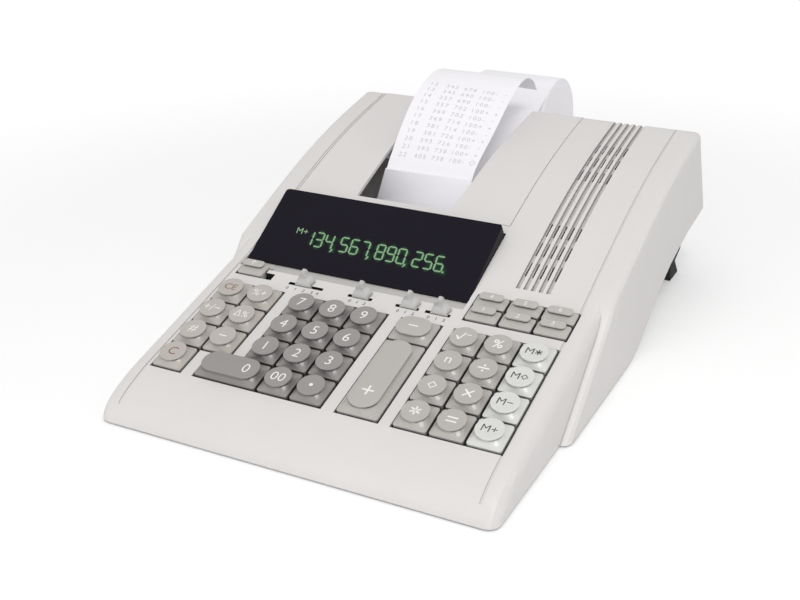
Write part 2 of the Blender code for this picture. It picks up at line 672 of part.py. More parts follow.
    # Seat of the display window and room behind it
    seat_xs = (WINDOW_X0 - GAP, WINDOW_X1 + GAP)
    seat_outline = window_outline(GAP)
    cut(shell, extruded("window_seat", seat_outline, seat_xs, WINDOW))
    room_xs = (window_xs[0] + WINDOW_SIDE, window_xs[1] - WINDOW_SIDE)
    room_ss = (TRAY_MARGIN + WINDOW_SIDE, WINDOW_LENGTH - TRAY_MARGIN)
    cut(shell, box("display_room", room_xs, room_ss, (-TRAY_FLOOR, OVERCUT / 2), WINDOW))
    leg_s = (TUBE_FRONT_S + TUBE_REAR_S) / 2
    for leg_x in (TUBE_X0 + TRAY_MARGIN * 2, TUBE_X1 - TRAY_MARGIN * 2):
        leg_half = TUBE_LEG_HALF + SLOT_CLEARANCE
        leg_xs = (leg_x - leg_half, leg_x + leg_half)
        leg_ss = (leg_s - leg_half, leg_s + leg_half)
        cut(shell, box("tube_leg_hole", leg_xs, leg_ss, (-TRAY_DEPTH - OVERCUT, -TRAY_FLOOR + JOIN), WINDOW))

    # Seams and vents
    seam_ys = (SEAM_FRONT_Y, SEAM_REAR_Y)
    for middle in (-SEAM_X, SEAM_X):
        seam_xs = (middle - SEAM_WIDTH / 2, middle + SEAM_WIDTH / 2)
        cut(shell, band("seam", seam_xs, seam_ys, OVERCUT / 5, SEAM_DEPTH, TOP_LINE))
    for middle in VENT_XS:
        vent_xs = (middle - VENT_WIDTH / 2, middle + VENT_WIDTH / 2)
        vent_ys = (VENT_FRONT_Y, REAR_LINE[1][0])
        cut(shell, band("vent", vent_xs, vent_ys, OVERCUT / 5, VENT_DEPTH, TOP_LINE))
        half = VENT_THROUGH_WIDTH / 2
        for start in VENT_THROUGH_STARTS:
            through_ys = (start, start + VENT_THROUGH_LENGTH)
            cut(shell, band("vent_through", (middle - half, middle + half), through_ys, 0.0, OVERCUT / 2))

    # Slots that take the paper holder's tongues
    for middle in TONGUE_XS:
        half = TONGUE_HALF + SLOT_CLEARANCE
        cut(shell, wall_box("tongue_slot", (middle - half, middle + half), TONGUE_Z,
                            TONGUE_THICK / 2 + SLOT_CLEARANCE, -OVERCUT, OVERCUT))
    finish(shell, IVORY, 0.45)


def recess_outline():
    """Side view of the room for the cover: its plate, its hinge barrels and the space above."""
    room = BARREL_RADIUS + BARREL_CLEARANCE
    inner = [point for point in CREST_LINE if COVER_FRONT_Y < point[0] < HINGE_Y - room]
    line = [(COVER_FRONT_Y, height_on(CREST_LINE, COVER_FRONT_Y))] + inner
    outline = inset(line, COVER_THICK + GAP)
    for step in range(BARREL_STEPS + 1):
        angle = math.pi + math.pi * (step + 0.4) / (BARREL_STEPS + 0.4)
        outline.append((HINGE_Y + room * math.cos(angle), HINGE_Z + room * math.sin(angle)))
    outline.append((HINGE_Y + OVERCUT, HINGE_Z))
    outline.append((HINGE_Y + OVERCUT, HINGE_Z + OVERCUT))
    outline.append((COVER_FRONT_Y, HINGE_Z + OVERCUT))
    outline.append(line[0])
    return outline


def window_outline(margin):
    """Side view of the display window in its own plane, grown by a margin below and behind."""
    return [
        (-margin, WINDOW_SEAT), (WINDOW_LENGTH + margin, WINDOW_SEAT + OVERCUT * (margin > 0.0)),
        (WINDOW_LENGTH + margin, -WINDOW_BACK_LENGTH - margin), (-margin, -WINDOW_PANE - margin),
    ]


def build_display_window():
    outline = [
        (0.0, 0.0), (WINDOW_LENGTH, 0.0), (WINDOW_LENGTH, -WINDOW_BACK_LENGTH), (0.0, -WINDOW_PANE),
    ]
    window = extruded("display_window", outline, (WINDOW_X0, WINDOW_X1), WINDOW)
    inner_xs = (WINDOW_X0 + WINDOW_SIDE, WINDOW_X1 - WINDOW_SIDE)
    inner_ss = (-OVERCUT, WINDOW_LENGTH - WINDOW_SIDE)
    cut(window, box("window_hollow", inner_xs, inner_ss, (-OVERCUT * 2, -WINDOW_PANE), WINDOW))
    finish(window, TINTED_BLACK, 0.12)


def build_display_tube():
    tube_xs = (TUBE_X0, TUBE_X1)
    bottom = -TRAY_FLOOR + GAP
    tube = box("display_tube", tube_xs, (TUBE_FRONT_S, TUBE_REAR_S), (bottom, bottom + TUBE_DEPTH), WINDOW)
    leg_s = (TUBE_FRONT_S + TUBE_REAR_S) / 2
    for leg_x in (TUBE_X0 + TRAY_MARGIN * 2, TUBE_X1 - TRAY_MARGIN * 2):
        leg_xs = (leg_x - TUBE_LEG_HALF, leg_x + TUBE_LEG_HALF)
        leg_ss = (leg_s - TUBE_LEG_HALF, leg_s + TUBE_LEG_HALF)
        leg = box("tube_leg", leg_xs, leg_ss, (-TRAY_DEPTH - WINDOW_PANE, bottom + JOIN), WINDOW)
        add(tube, leg)
    finish(tube, TUBE_GREEN, 0.15)


# Key caps
def cap_ring(half_width, half_depth, corner, lift, shift=0.0):
    points = []
    for sign_x, sign_s, turn in ((1, 1, 0.0), (-1, 1, 90.0), (-1, -1, 180.0), (1, -1, 270.0)):
        for angle in RING_ANGLES:
            direction = math.radians(angle + turn)
            x = sign_x * (half_width - corner) + corner * math.cos(direction)
            s = sign_s * (half_depth - corner) + corner * math.sin(direction)
            points.append((x, s + shift, lift))
    return points


def build_key(name, middle_x, middle_s, width, depth, top_half, colour, shift=0.0, drop=0.0, dish=True):
    half_w = (width - KEY_GAP) / 2
    half_d = (depth - KEY_GAP) / 2
    top_w, top_d = top_half
    top_corner = min(top_w, top_d)
    share = SLOPE_INSET_SHARE
    slope_w = half_w + (top_w - half_w) * share
    slope_d = half_d + (top_d - half_d) * share
    slope_corner = min(SLOPE_CORNER, slope_w, slope_d)
    neck = top_corner - NECK_INSET
    crown = top_corner - CROWN_INSET
    rings = [
        cap_ring(half_w, half_d, SLAB_CORNER, SKIRT_BOTTOM),
        cap_ring(half_w, half_d, SLAB_CORNER, SLAB_TOP),
        cap_ring(slope_w, slope_d, slope_corner, SLOPE_LIFT - drop / 2, shift * share),
        cap_ring(top_w - NECK_INSET, top_d - NECK_INSET, neck, NECK_LIFT - drop, shift),
        cap_ring(top_w, top_d, top_corner, RIM_LIFT - drop, shift),
        cap_ring(top_w - CROWN_INSET, top_d - CROWN_INSET, crown, CROWN_LIFT - drop, shift),
    ]
    work = bmesh.new()
    loops = [[work.verts.new(point) for point in ring] for ring in rings]
    count = len(loops[0])
    for lower, upper in zip(loops[:-1], loops[1:]):
        for index in range(count):
            after = (index + 1) % count
            work.faces.new((lower[index], lower[after], upper[after], upper[index]))
    work.faces.new(list(reversed(loops[0])))
    if dish:
        centre = work.verts.new((0.0, shift, DISH_LIFT - drop))
        for index in range(count):
            work.faces.new((loops[-1][index], loops[-1][(index + 1) % count], centre))
    else:
        work.faces.new(loops[-1])
    frame = DECK @ Matrix.Translation((middle_x, middle_s, 0.0))
    cap = new_object(name, work, frame)
    hollow_xs = (-half_w + CAP_WALL, half_w - CAP_WALL)
    hollow_ss = (-half_d + CAP_WALL, half_d - CAP_WALL)
    cut(cap, box("cap_hollow", hollow_xs, hollow_ss, (SKIRT_BOTTOM - CAP_WALL, SLAB_TOP - CAP_ROOF), frame))
    stem_span = (-STEM_HALF, STEM_HALF)
    add(cap, box("stem", stem_span, stem_span, (STEM_BOTTOM, SLAB_TOP - CAP_ROOF + JOIN), frame))
    finish(cap, colour, 0.5)


def row_s(row, rows=1):
    return (row - 1 + rows / 2) * ROW_PITCH


DISC = (DISC_RADIUS, DISC_RADIUS)
ZERO_TOP = (KEY_PITCH - KEY_GAP - 0.0019, DISC_RADIUS)
MINUS_TOP = (0.0096, 0.0070)
PLUS_TOP = (0.0082, 0.0252)
FUNCTION_TOP = (0.0068, 0.0026)

KEYS = (
    ("key_clear", LEFT_XS[0], 1, LEFT_GREY), ("key_number_sign", LEFT_XS[0], 2, LEFT_GREY),
    ("key_change_sign", LEFT_XS[0], 3, LEFT_GREY), ("key_clear_entry", LEFT_XS[0], 4, LEFT_GREY),
    ("key_correction", LEFT_XS[1], 2, LEFT_GREY), ("key_delta_percent", LEFT_XS[1], 3, LEFT_GREY),
    ("key_percent_add", LEFT_XS[1], 4, LEFT_GREY),
    ("key_double_zero", NUMBER_XS[1], 1, NUMBER_GREY), ("key_point", NUMBER_XS[2], 1, NUMBER_GREY),
    ("key_1", NUMBER_XS[0], 2, NUMBER_GREY), ("key_2", NUMBER_XS[1], 2, NUMBER_GREY),
    ("key_3", NUMBER_XS[2], 2, NUMBER_GREY), ("key_4", NUMBER_XS[0], 3, NUMBER_GREY),
    ("key_5", NUMBER_XS[1], 3, NUMBER_GREY), ("key_6", NUMBER_XS[2], 3, NUMBER_GREY),
    ("key_7", NUMBER_XS[0], 4, NUMBER_GREY), ("key_8", NUMBER_XS[1], 4, NUMBER_GREY),
    ("key_9", NUMBER_XS[2], 4, NUMBER_GREY),
    ("key_total", RIGHT_XS[0], 1, RIGHT_GREY), ("key_subtotal", RIGHT_XS[0], 2, RIGHT_GREY),
    ("key_item_count", RIGHT_XS[0], 3, RIGHT_GREY), ("key_square_root", RIGHT_XS[0], 4, RIGHT_GREY),
    ("key_equals", RIGHT_XS[1], 1, RIGHT_GREY), ("key_multiply", RIGHT_XS[1], 2, RIGHT_GREY),
    ("key_divide", RIGHT_XS[1], 3, RIGHT_GREY), ("key_percent", RIGHT_XS[1], 4, RIGHT_GREY),
    ("key_memory_plus", RIGHT_XS[2], 1, MEMORY_GREY), ("key_memory_minus", RIGHT_XS[2], 2, MEMORY_GREY),
    ("key_memory_subtotal", RIGHT_XS[2], 3, MEMORY_GREY), ("key_memory_total", RIGHT_XS[2], 4, MEMORY_GREY),
)


def build_keys():
    stems = []
    for name, middle_x, row, colour in KEYS:
        build_key(name, middle_x, row_s(row), KEY_PITCH, ROW_PITCH, DISC, colour)
        stems.append((middle_x, row_s(row)))
    build_key("key_0", WIDE_ZERO_X, row_s(1), 2 * KEY_PITCH, ROW_PITCH, ZERO_TOP, NUMBER_GREY, dish=False)
    build_key("key_minus", PLUS_X, row_s(4), PLUS_WIDTH, ROW_PITCH, MINUS_TOP, RIGHT_GREY)
    build_key("key_plus", PLUS_X, row_s(1, 3), PLUS_WIDTH, 3 * ROW_PITCH, PLUS_TOP, RIGHT_GREY, dish=False)
    stems += [(WIDE_ZERO_X, row_s(1)), (PLUS_X, row_s(4)), (PLUS_X, row_s(1, 3))]
    number = 0
    for row in (0, 1):
        middle_s = FUNCTION_FRONT_S + (row + 0.5) * FUNCTION_DEPTH
        for middle_x in FUNCTION_XS:
            number += 1
            build_key(f"function_key_{number}", middle_x, middle_s, KEY_PITCH, FUNCTION_DEPTH, FUNCTION_TOP,
                      SMALL_GREY, FUNCTION_TOP_SHIFT, FUNCTION_TOP_DROP, dish=False)
            stems.append((middle_x, middle_s))
    build_key("feed_key", FEED_X, FEED_S, FEED_WIDTH, FEED_DEPTH, FUNCTION_TOP, SMALL_GREY,
              FUNCTION_TOP_SHIFT, FUNCTION_TOP_DROP, dish=False)
    stems.append((FEED_X, FEED_S))
    return stems


def build_key_board(stems):
    board_xs = (-BOARD_HALF_WIDTH, BOARD_HALF_WIDTH)
    board_ss = (BOARD_FRONT_S, BOARD_REAR_S)
    board = box("key_board", board_xs, board_ss, (BOARD_BOTTOM, BOARD_TOP), DECK)
    ear_xs = (WINDOW_X1 + TRAY_MARGIN / 2, BOARD_HALF_WIDTH - GAP)
    add(board, box("board_ear", ear_xs, (BOARD_REAR_S - JOIN, BOARD_EAR_S), (BOARD_BOTTOM, BOARD_TOP), DECK))
    half = STEM_HALF + SLOT_CLEARANCE
    for middle_x, middle_s in stems:
        hole_xs = (middle_x - half, middle_x + half)
        hole_ss = (middle_s - half, middle_s + half)
        cut(board, box("stem_hole", hole_xs, hole_ss, (BOARD_BOTTOM - GAP, BOARD_TOP + GAP), DECK))
    finish(board, BOARD_GREEN, 0.5)


def build_knob(name, frame):
    """The part of a switch above its slot: a wide foot that narrows to an upright finger."""
    half = KNOB_HALF_WIDTH - GAP
    front = KNOB_FRONT_S + GAP
    finger_front = KNOB_FRONT_S + FINGER_SETBACK
    rings = (
        (KNOB_BASE, half, front, KNOB_REAR_S),
        (KNOB_SHOULDER, half - SHOULDER_INSET, front + SHOULDER_SETBACK, KNOB_REAR_S - FINGER_LEAN / 2),
        (KNOB_WAIST, FINGER_HALF_WIDTH, finger_front, KNOB_REAR_S - FINGER_LEAN),
        (KNOB_TIP, TIP_HALF_WIDTH, finger_front + 2 * FINGER_LEAN, KNOB_REAR_S - 2 * FINGER_LEAN),
    )
    work = bmesh.new()
    loops = []
    for height, half, front_s, rear_s in rings:
        corners = ((-half, front_s), (half, front_s), (half, rear_s), (-half, rear_s))
        loops.append([work.verts.new((x, s, height)) for x, s in corners])
    for lower, upper in zip(loops[:-1], loops[1:]):
        for index in range(4):
            after = (index + 1) % 4
            work.faces.new((lower[index], lower[after], upper[after], upper[index]))
    work.faces.new(list(reversed(loops[0])))
    work.faces.new(loops[-1])
    return new_object(name, work, frame)


def build_switches():
    for name, middle, left, right in switch_places():
        frame = DECK @ Matrix.Translation((middle, 0.0, 0.0))
        knob = build_knob(name, frame)
        stem_xs = (-SWITCH_STEM_HALF + GAP, SWITCH_STEM_HALF - GAP)
        stem_ss = (SLOT_FRONT_S + SLOT_CLEARANCE, SLOT_FRONT_S + SLOT_DEPTH - SLOT_CLEARANCE)
        add(knob, box("switch_stem", stem_xs, stem_ss, (SWITCH_STEM_BOTTOM, KNOB_BASE + JOIN), frame))
        plate_zs = (SWITCH_PLATE_BOTTOM, SWITCH_STEM_BOTTOM + JOIN)
        plate_ss = (SLOT_FRONT_S - SLOT_DEPTH / 2, SLOT_FRONT_S + 2 * SLOT_DEPTH)
        add(knob, box("switch_plate", (-SWITCH_PLATE_HALF + GAP, SWITCH_PLATE_HALF - GAP), plate_ss,
                      plate_zs, frame))
        finish(knob, KNOB_GREY, 0.45)


def build_printer_cover():
    inner = [point for point in CREST_LINE if COVER_FRONT_Y + GAP < point[0] < HINGE_Y]
    line = [(COVER_FRONT_Y + GAP, height_on(CREST_LINE, COVER_FRONT_Y + GAP))] + inner
    line.append((HINGE_Y, HINGE_Z + BARREL_RADIUS))
    outline = line + list(reversed(inset(line, COVER_THICK)))
    cover_xs = (COVER_X0 + GAP, COVER_X1 - GAP)
    cover = extruded("printer_cover", outline, cover_xs)
    hinge = (HINGE_Y, HINGE_Z)
    add(cover, rod("barrel", hinge, BARREL_RADIUS, cover_xs))
    add(cover, rod("pin", hinge, PIN_RADIUS, (COVER_X0 - PIN_LENGTH, COVER_X1 + PIN_LENGTH), sides=12))
    far_y = HINGE_Y + OVERCUT
    reach = (far_y - OPENING_FRONT_Y) / (HINGE_Y - OPENING_FRONT_Y)
    far_left = OPENING_FRONT_XS[0] + (OPENING_REAR_XS[0] - OPENING_FRONT_XS[0]) * reach
    far_right = OPENING_FRONT_XS[1] + (OPENING_REAR_XS[1] - OPENING_FRONT_XS[1]) * reach
    plan = ((OPENING_FRONT_XS[0], OPENING_FRONT_Y), (OPENING_FRONT_XS[1], OPENING_FRONT_Y),
            (far_right, far_y), (far_left, far_y))
    cut(cover, slab("paper_opening", plan, (0.0, 2 * HINGE_Z)))
    finish(cover, IVORY, 0.45, origin=(0.0, HINGE_Y + DATUM_Y, HINGE_Z))


def base_underside(depth):
    curve = list(reversed(UNDERCUT_LINE))
    if depth <= curve[0][0]:
        return LIP_Z + BASE_LIFT
    return height_on(curve, depth) + BASE_LIFT


def build_base_shell():
    curve = [point for point in reversed(UNDERCUT_LINE) if point[0] < BASE_REAR_Y]
    rear_line = [(BASE_STEP_Y, LIP_Z)] + curve + [(BASE_REAR_Y, curve[-1][1])]
    lower = [(depth, height + BASE_LIFT) for depth, height in rear_line]
    upper = [(depth, height + BASE_LIFT + BASE_THICK) for depth, height in rear_line]
    half = REAR_HALF_WIDTH - WALL - GAP
    base = extruded("base_shell", lower + list(reversed(upper)), (-half, half))
    floor_zs = (LIP_Z + BASE_LIFT, LIP_Z + BASE_LIFT + BASE_THICK)
    half = FRONT_HALF_WIDTH - WALL - GAP
    cut_y = BASE_FRONT_Y + BASE_CORNER
    cut_x = half - BASE_CORNER
    plan = ((-cut_x, BASE_FRONT_Y), (cut_x, BASE_FRONT_Y), (half, cut_y), (half, BASE_STEP_Y + JOIN),
            (-half, BASE_STEP_Y + JOIN), (-half, cut_y))
    add(base, slab("front_floor", plan, floor_zs))
    for side in (-1.0, 1.0):
        pad_xs = (side * PAD_X - PAD_HALF, side * PAD_X + PAD_HALF)
        pad_ys = (PAD_Y - PAD_HALF, PAD_Y + PAD_HALF)
        add(base, box("pad", pad_xs, pad_ys, (0.0, floor_zs[0] + JOIN)))
        for post_s in BOARD_POST_SS:
            add(base, board_post(side * BOARD_POST_X, post_s))
    for post_x in FRAME_POST_XS:
        for post_y in FRAME_POST_YS:
            post_xs = (post_x - POST_HALF, post_x + POST_HALF)
            post_ys = (post_y - POST_HALF, post_y + POST_HALF)
            foot_z = base_underside(post_y + POST_HALF) + BASE_THICK / 2
            add(base, box("frame_post", post_xs, post_ys, (foot_z, FRAME_Z0 - GAP)))
    core_mid = (CORE_X0 + CORE_X1) / 2
    stand_ys = (CORE_Y0 + POST_HALF, CORE_Y1 - POST_HALF)
    stand_zs = (floor_zs[1] - JOIN, floor_zs[1] + CORE_STAND)
    add(base, box("core_stand", (core_mid - 3 * POST_HALF, core_mid + 3 * POST_HALF), stand_ys, stand_zs))
    for step in range(VENT_SLOT_COUNT):
        middle = VENT_SLOT_Y + step * VENT_SLOT_PITCH
        slot_ys = (middle - VENT_SLOT_HALF, middle + VENT_SLOT_HALF)
        cut(base, box("floor_vent", (VENT_SLOT_X0, VENT_SLOT_X1), slot_ys, (-OVERCUT, OVERCUT)))
    finish(base, IVORY_DARK, 0.55)


def board_post(middle_x, middle_s):
    """A post whose top is cut to the slope of the key board."""
    middle = DECK @ Vector((middle_x, middle_s, BOARD_BOTTOM - GAP))
    depth = middle.y - DATUM_Y
    foot_z = base_underside(depth) + BASE_THICK / 2
    post = box("board_post", (middle_x - POST_HALF, middle_x + POST_HALF),
               (depth - POST_HALF, depth + POST_HALF), (foot_z, middle.z))
    for vertex in post.data.vertices:
        if vertex.co.z > (foot_z + middle.z) / 2:
            vertex.co.z += (vertex.co.y - depth) * math.tan(DECK_TILT)
    return post


def build_transformer():
    bottom = LIP_Z + BASE_LIFT + BASE_THICK + CORE_STAND + GAP
    core_xs = (CORE_X0, CORE_X1)
    core_ys = (CORE_Y0, CORE_Y1)
    core = box("transformer", core_xs, core_ys, (bottom, CORE_Z1))
    coil_xs = (CORE_X0 + COIL_SIDE, CORE_X1 - COIL_SIDE)
    coil_ys = (CORE_Y0 - COIL_LENGTH, CORE_Y1 + COIL_LENGTH)
    add(core, box("coil", coil_xs, coil_ys, (bottom + COIL_SIDE, CORE_Z1 - COIL_SIDE)))
    finish(core, COPPER_BROWN, 0.5)


def build_printer_frame():
    frame_xs = (FRAME_X0, FRAME_X1)
    frame_ys = (FRAME_Y0, FRAME_Y1)
    frame = box("printer_frame", frame_xs, frame_ys, (FRAME_Z0, FRAME_Z0 + FRAME_PLATE))
    side_line = [
        (FRAME_Y0, FRAME_Z0), (FRAME_Y1, FRAME_Z0), (FRAME_Y1, FRAME_Z1 - FRAME_CUT),
        (FRAME_Y1 - FRAME_CUT, FRAME_Z1), (FRAME_Y0 + FRAME_CUT, FRAME_Z1),
        (FRAME_Y0, FRAME_Z1 - FRAME_CUT),
    ]
    for side_xs in ((FRAME_X0, FRAME_X0 + FRAME_PLATE), (FRAME_X1 - FRAME_PLATE, FRAME_X1)):
        add(frame, extruded("side_plate", side_line, side_xs))
    add(frame, rod("guide_rod", (GUIDE_Y, GUIDE_Z), GUIDE_RADIUS,
                   (FRAME_X0 + FRAME_PLATE / 2, FRAME_X1 - FRAME_PLATE / 2), sides=12))
    hole_xs = (FRAME_X0 - OVERCUT, FRAME_X1 + OVERCUT)
    cut(frame, rod("axle_holes", (PLATEN_Y, PLATEN_Z), AXLE_RADIUS + SLOT_CLEARANCE, hole_xs))
    finish(frame, STEEL_GREY, 0.4, metallic=1.0)


def build_platen_roller():
    centre = (PLATEN_Y, PLATEN_Z)
    roller = rod("platen_roller", centre, PLATEN_RADIUS, (PLATEN_X0, PLATEN_X1), sides=24)
    add(roller, rod("axle", centre, AXLE_RADIUS, (AXLE_X0, AXLE_X1)))
    finish(roller, RUBBER_BLACK, 0.8, origin=(0.0, PLATEN_Y + DATUM_Y, PLATEN_Z))


def build_print_head():
    head_xs = (HEAD_X0, HEAD_X1)
    middle = (HEAD_X0 + HEAD_X1) / 2
    head = box("print_head", head_xs, (HEAD_Y0, HEAD_Y1), (HEAD_Z0, HEAD_Z1))
    nose_zs = (PLATEN_Z - HEAD_NOSE_HALF, PLATEN_Z + HEAD_NOSE_HALF)
    nose_xs = (middle - HEAD_NOSE_HALF, middle + HEAD_NOSE_HALF)
    add(head, box("nose", nose_xs, (HEAD_Y1 - JOIN, HEAD_NOSE_Y), nose_zs))
    hole_xs = (HEAD_X0 - JOIN, HEAD_X1 + JOIN)
    cut(head, rod("guide_hole", (GUIDE_Y, GUIDE_Z), GUIDE_RADIUS + SLOT_CLEARANCE, hole_xs, sides=12))
    finish(head, RUBBER_BLACK, 0.5, origin=(middle, GUIDE_Y + DATUM_Y, GUIDE_Z))


# Paper path: roll, under the platen, up behind the tear bar and out
def paper_lines():
    platen_path = PLATEN_RADIUS + PAPER_LIFT + PAPER_THICK / 2
    roll_path = ROLL_RADIUS + PAPER_LIFT + PAPER_THICK / 2
    run = Vector((ROLL_Y - PLATEN_Y, ROLL_Z - PLATEN_Z))
    slope = math.atan2(run.y, run.x) + math.asin((platen_path + roll_path) / run.length)
    start = (ROLL_Y - roll_path * math.sin(slope), ROLL_Z + roll_path * math.cos(slope))
    shared = [start]
    end_angle = EXIT_ANGLE + math.pi / 2
    first_angle = slope - math.pi / 2
    total = first_angle - (end_angle - 2 * math.pi)
    for step in range(WRAP_STEPS + 1):
        angle = first_angle - total * step / WRAP_STEPS
        shared.append((PLATEN_Y + platen_path * math.cos(angle), PLATEN_Z + platen_path * math.sin(angle)))
    return shared + list(STRIP_LEFT), shared + list(STRIP_RIGHT)


def build_paper_strip():
    left, right = paper_lines()
    work = bmesh.new()
    sections = []
    faces_out = (inset(left, PAPER_THICK / 2), inset(right, PAPER_THICK / 2))
    faces_in = (inset(left, -PAPER_THICK / 2), inset(right, -PAPER_THICK / 2))
    for index in range(len(left)):
        corners = [
            (PAPER_X0, *faces_out[0][index]), (PAPER_X1, *faces_out[1][index]),
            (PAPER_X1, *faces_in[1][index]), (PAPER_X0, *faces_in[0][index]),
        ]
        sections.append([work.verts.new(corner) for corner in corners])
    for lower, upper in zip(sections[:-1], sections[1:]):
        for index in range(4):
            after = (index + 1) % 4
            work.faces.new((lower[index], lower[after], upper[after], upper[index]))
    work.faces.new(list(reversed(sections[0])))
    work.faces.new(sections[-1])
    finish(new_object("paper_strip", work, LEVEL), PAPER_WHITE, 0.9)


def build_paper_roll():
    outer = ROLL_RADIUS
    profile = (
        (PAPER_X0, ROLL_BORE), (PAPER_X0, outer - ROLL_EDGE), (PAPER_X0 + ROLL_EDGE, outer),
        (PAPER_X1 - ROLL_EDGE, outer), (PAPER_X1, outer - ROLL_EDGE), (PAPER_X1, ROLL_BORE),
    )
    work = bmesh.new()
    rings = []
    for step in range(ROLL_SIDES):
        angle = 2 * math.pi * step / ROLL_SIDES
        ring = [work.verts.new((x, ROLL_Y + radius * math.cos(angle), ROLL_Z + radius * math.sin(angle)))
                for x, radius in profile]
        rings.append(ring)
    for index in range(ROLL_SIDES):
        here = rings[index]
        after = rings[(index + 1) % ROLL_SIDES]
        for step in range(len(profile)):
            following = (step + 1) % len(profile)
            work.faces.new((here[step], after[step], after[following], here[following]))
    finish(new_object("paper_roll", work, LEVEL), PAPER_WHITE, 0.9,
           origin=((PAPER_X0 + PAPER_X1) / 2, ROLL_Y + DATUM_Y, ROLL_Z))


def build_tear_bar():
    """A clear guard in front of the strip, with a toothed top edge."""
    path = PLATEN_RADIUS + PAPER_LIFT + PAPER_THICK / 2
    turn = EXIT_ANGLE
    foot = (PLATEN_Y - path * math.sin(turn), PLATEN_Z + path * math.cos(turn))
    place = Matrix.Translation((0.0, foot[0] + DATUM_Y, foot[1])) @ Matrix.Rotation(turn, 4, "X")
    bar_zs = (BAR_LIFT, BAR_LIFT + BAR_THICK)
    bar = box("tear_bar", (BAR_X0, BAR_X1), (BAR_START, BAR_END - TOOTH_LENGTH), bar_zs, place)
    pitch = (PAPER_X1 - PAPER_X0) / TOOTH_COUNT
    points = [(PAPER_X0, BAR_END - TOOTH_LENGTH - JOIN)]
    for step in range(TOOTH_COUNT):
        points.append((PAPER_X0 + step * pitch + GAP * (step > 0), BAR_END - TOOTH_LENGTH + GAP))
        points.append((PAPER_X0 + (step + 0.5) * pitch, BAR_END))
    points.append((PAPER_X1, BAR_END - TOOTH_LENGTH + GAP))
    points.append((PAPER_X1, BAR_END - TOOTH_LENGTH - JOIN))
    add(bar, slab("teeth", points, bar_zs, place))
    finish(bar, CLEAR_PLASTIC, 0.1, alpha=0.35)


# Paper holder on the sloping rear wall
def wall_point(height):
    top, foot = REAR_LINE[-2], REAR_LINE[-1]
    share = (top[1] - height) / (top[1] - foot[1])
    return top[0] + share * (foot[0] - top[0])


def wall_box(name, xs, height, half_thick, start, end):
    top, foot = REAR_LINE[-2], REAR_LINE[-1]
    outward = math.atan2(foot[0] - top[0], top[1] - foot[1])
    frame = Matrix.Translation((0.0, wall_point(height) + DATUM_Y, height)) @ Matrix.Rotation(outward, 4, "X")
    return box(name, xs, (start, end), (-half_thick, half_thick), frame)


def build_paper_holder():
    holder_xs = (PAPER_X0 - ARM_CLEARANCE - ARM_THICK, PAPER_X1 + ARM_CLEARANCE + ARM_THICK)
    inner = [(wall_point(HOLDER_TOP_Z), HOLDER_TOP_Z), (wall_point(HOLDER_BOTTOM_Z), HOLDER_BOTTOM_Z)]
    near = inset(inner, -GAP)
    far = inset(inner, -GAP - HOLDER_THICK)
    holder = extruded("paper_holder", near + list(reversed(far)), holder_xs)
    arm_line = [far[0]]
    for step in range(9):
        angle = math.radians(110.0 - step * 27.5)
        arm_line.append((ROLL_Y + ARM_END_RADIUS * math.cos(angle), ROLL_Z + ARM_END_RADIUS * math.sin(angle)))
    arm_line += [far[1], near[1], near[0]]
    for arm_xs in ((holder_xs[0], holder_xs[0] + ARM_THICK), (holder_xs[1] - ARM_THICK, holder_xs[1])):
        add(holder, extruded("arm", arm_line, arm_xs))
    spindle_xs = (holder_xs[0] + ARM_THICK / 2, holder_xs[1] - ARM_THICK / 2)
    add(holder, rod("spindle", (ROLL_Y, ROLL_Z), SPINDLE_RADIUS, spindle_xs, sides=24))
    for middle in TONGUE_XS:
        tongue_xs = (middle - TONGUE_HALF, middle + TONGUE_HALF)
        add(holder, wall_box("tongue", tongue_xs, TONGUE_Z, TONGUE_THICK / 2, -TONGUE_LENGTH, GAP + JOIN))
    finish(holder, IVORY_DARK, 0.5)


def build_rear_feet():
    for name, side in (("rear_foot_left", -1.0), ("rear_foot_right", 1.0)):
        outline = list(FOOT_LINE)
        for depth in FOOT_TOP_YS:
            outline.append((depth, base_underside(depth) - GAP))
        foot_xs = sorted((side * FOOT_X0, side * FOOT_X1))
        finish(extruded(name, outline, foot_xs), RUBBER_BLACK, 0.8)


build_upper_shell()
build_base_shell()
build_printer_cover()
build_display_window()
build_display_tube()
build_key_board(build_keys())
build_switches()
build_transformer()
build_printer_frame()
build_platen_roller()
build_print_head()
build_paper_strip()
build_paper_roll()
build_tear_bar()
build_paper_holder()
build_rear_feet()
for spare in CUTTERS.objects:
    spare.hide_render = True
    spare.display_type = "WIRE"
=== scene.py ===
"""The visible pieces of a desktop printing calculator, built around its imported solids.

Laid out as an add-on: settings, one operator for each group of pieces, and a panel. Lengths are
in metres. The deck frame lies in the plane of the keys, the window frame in the display's plane.
"""
import math

import bmesh
import bpy
from mathutils import Matrix
from mathutils import Vector


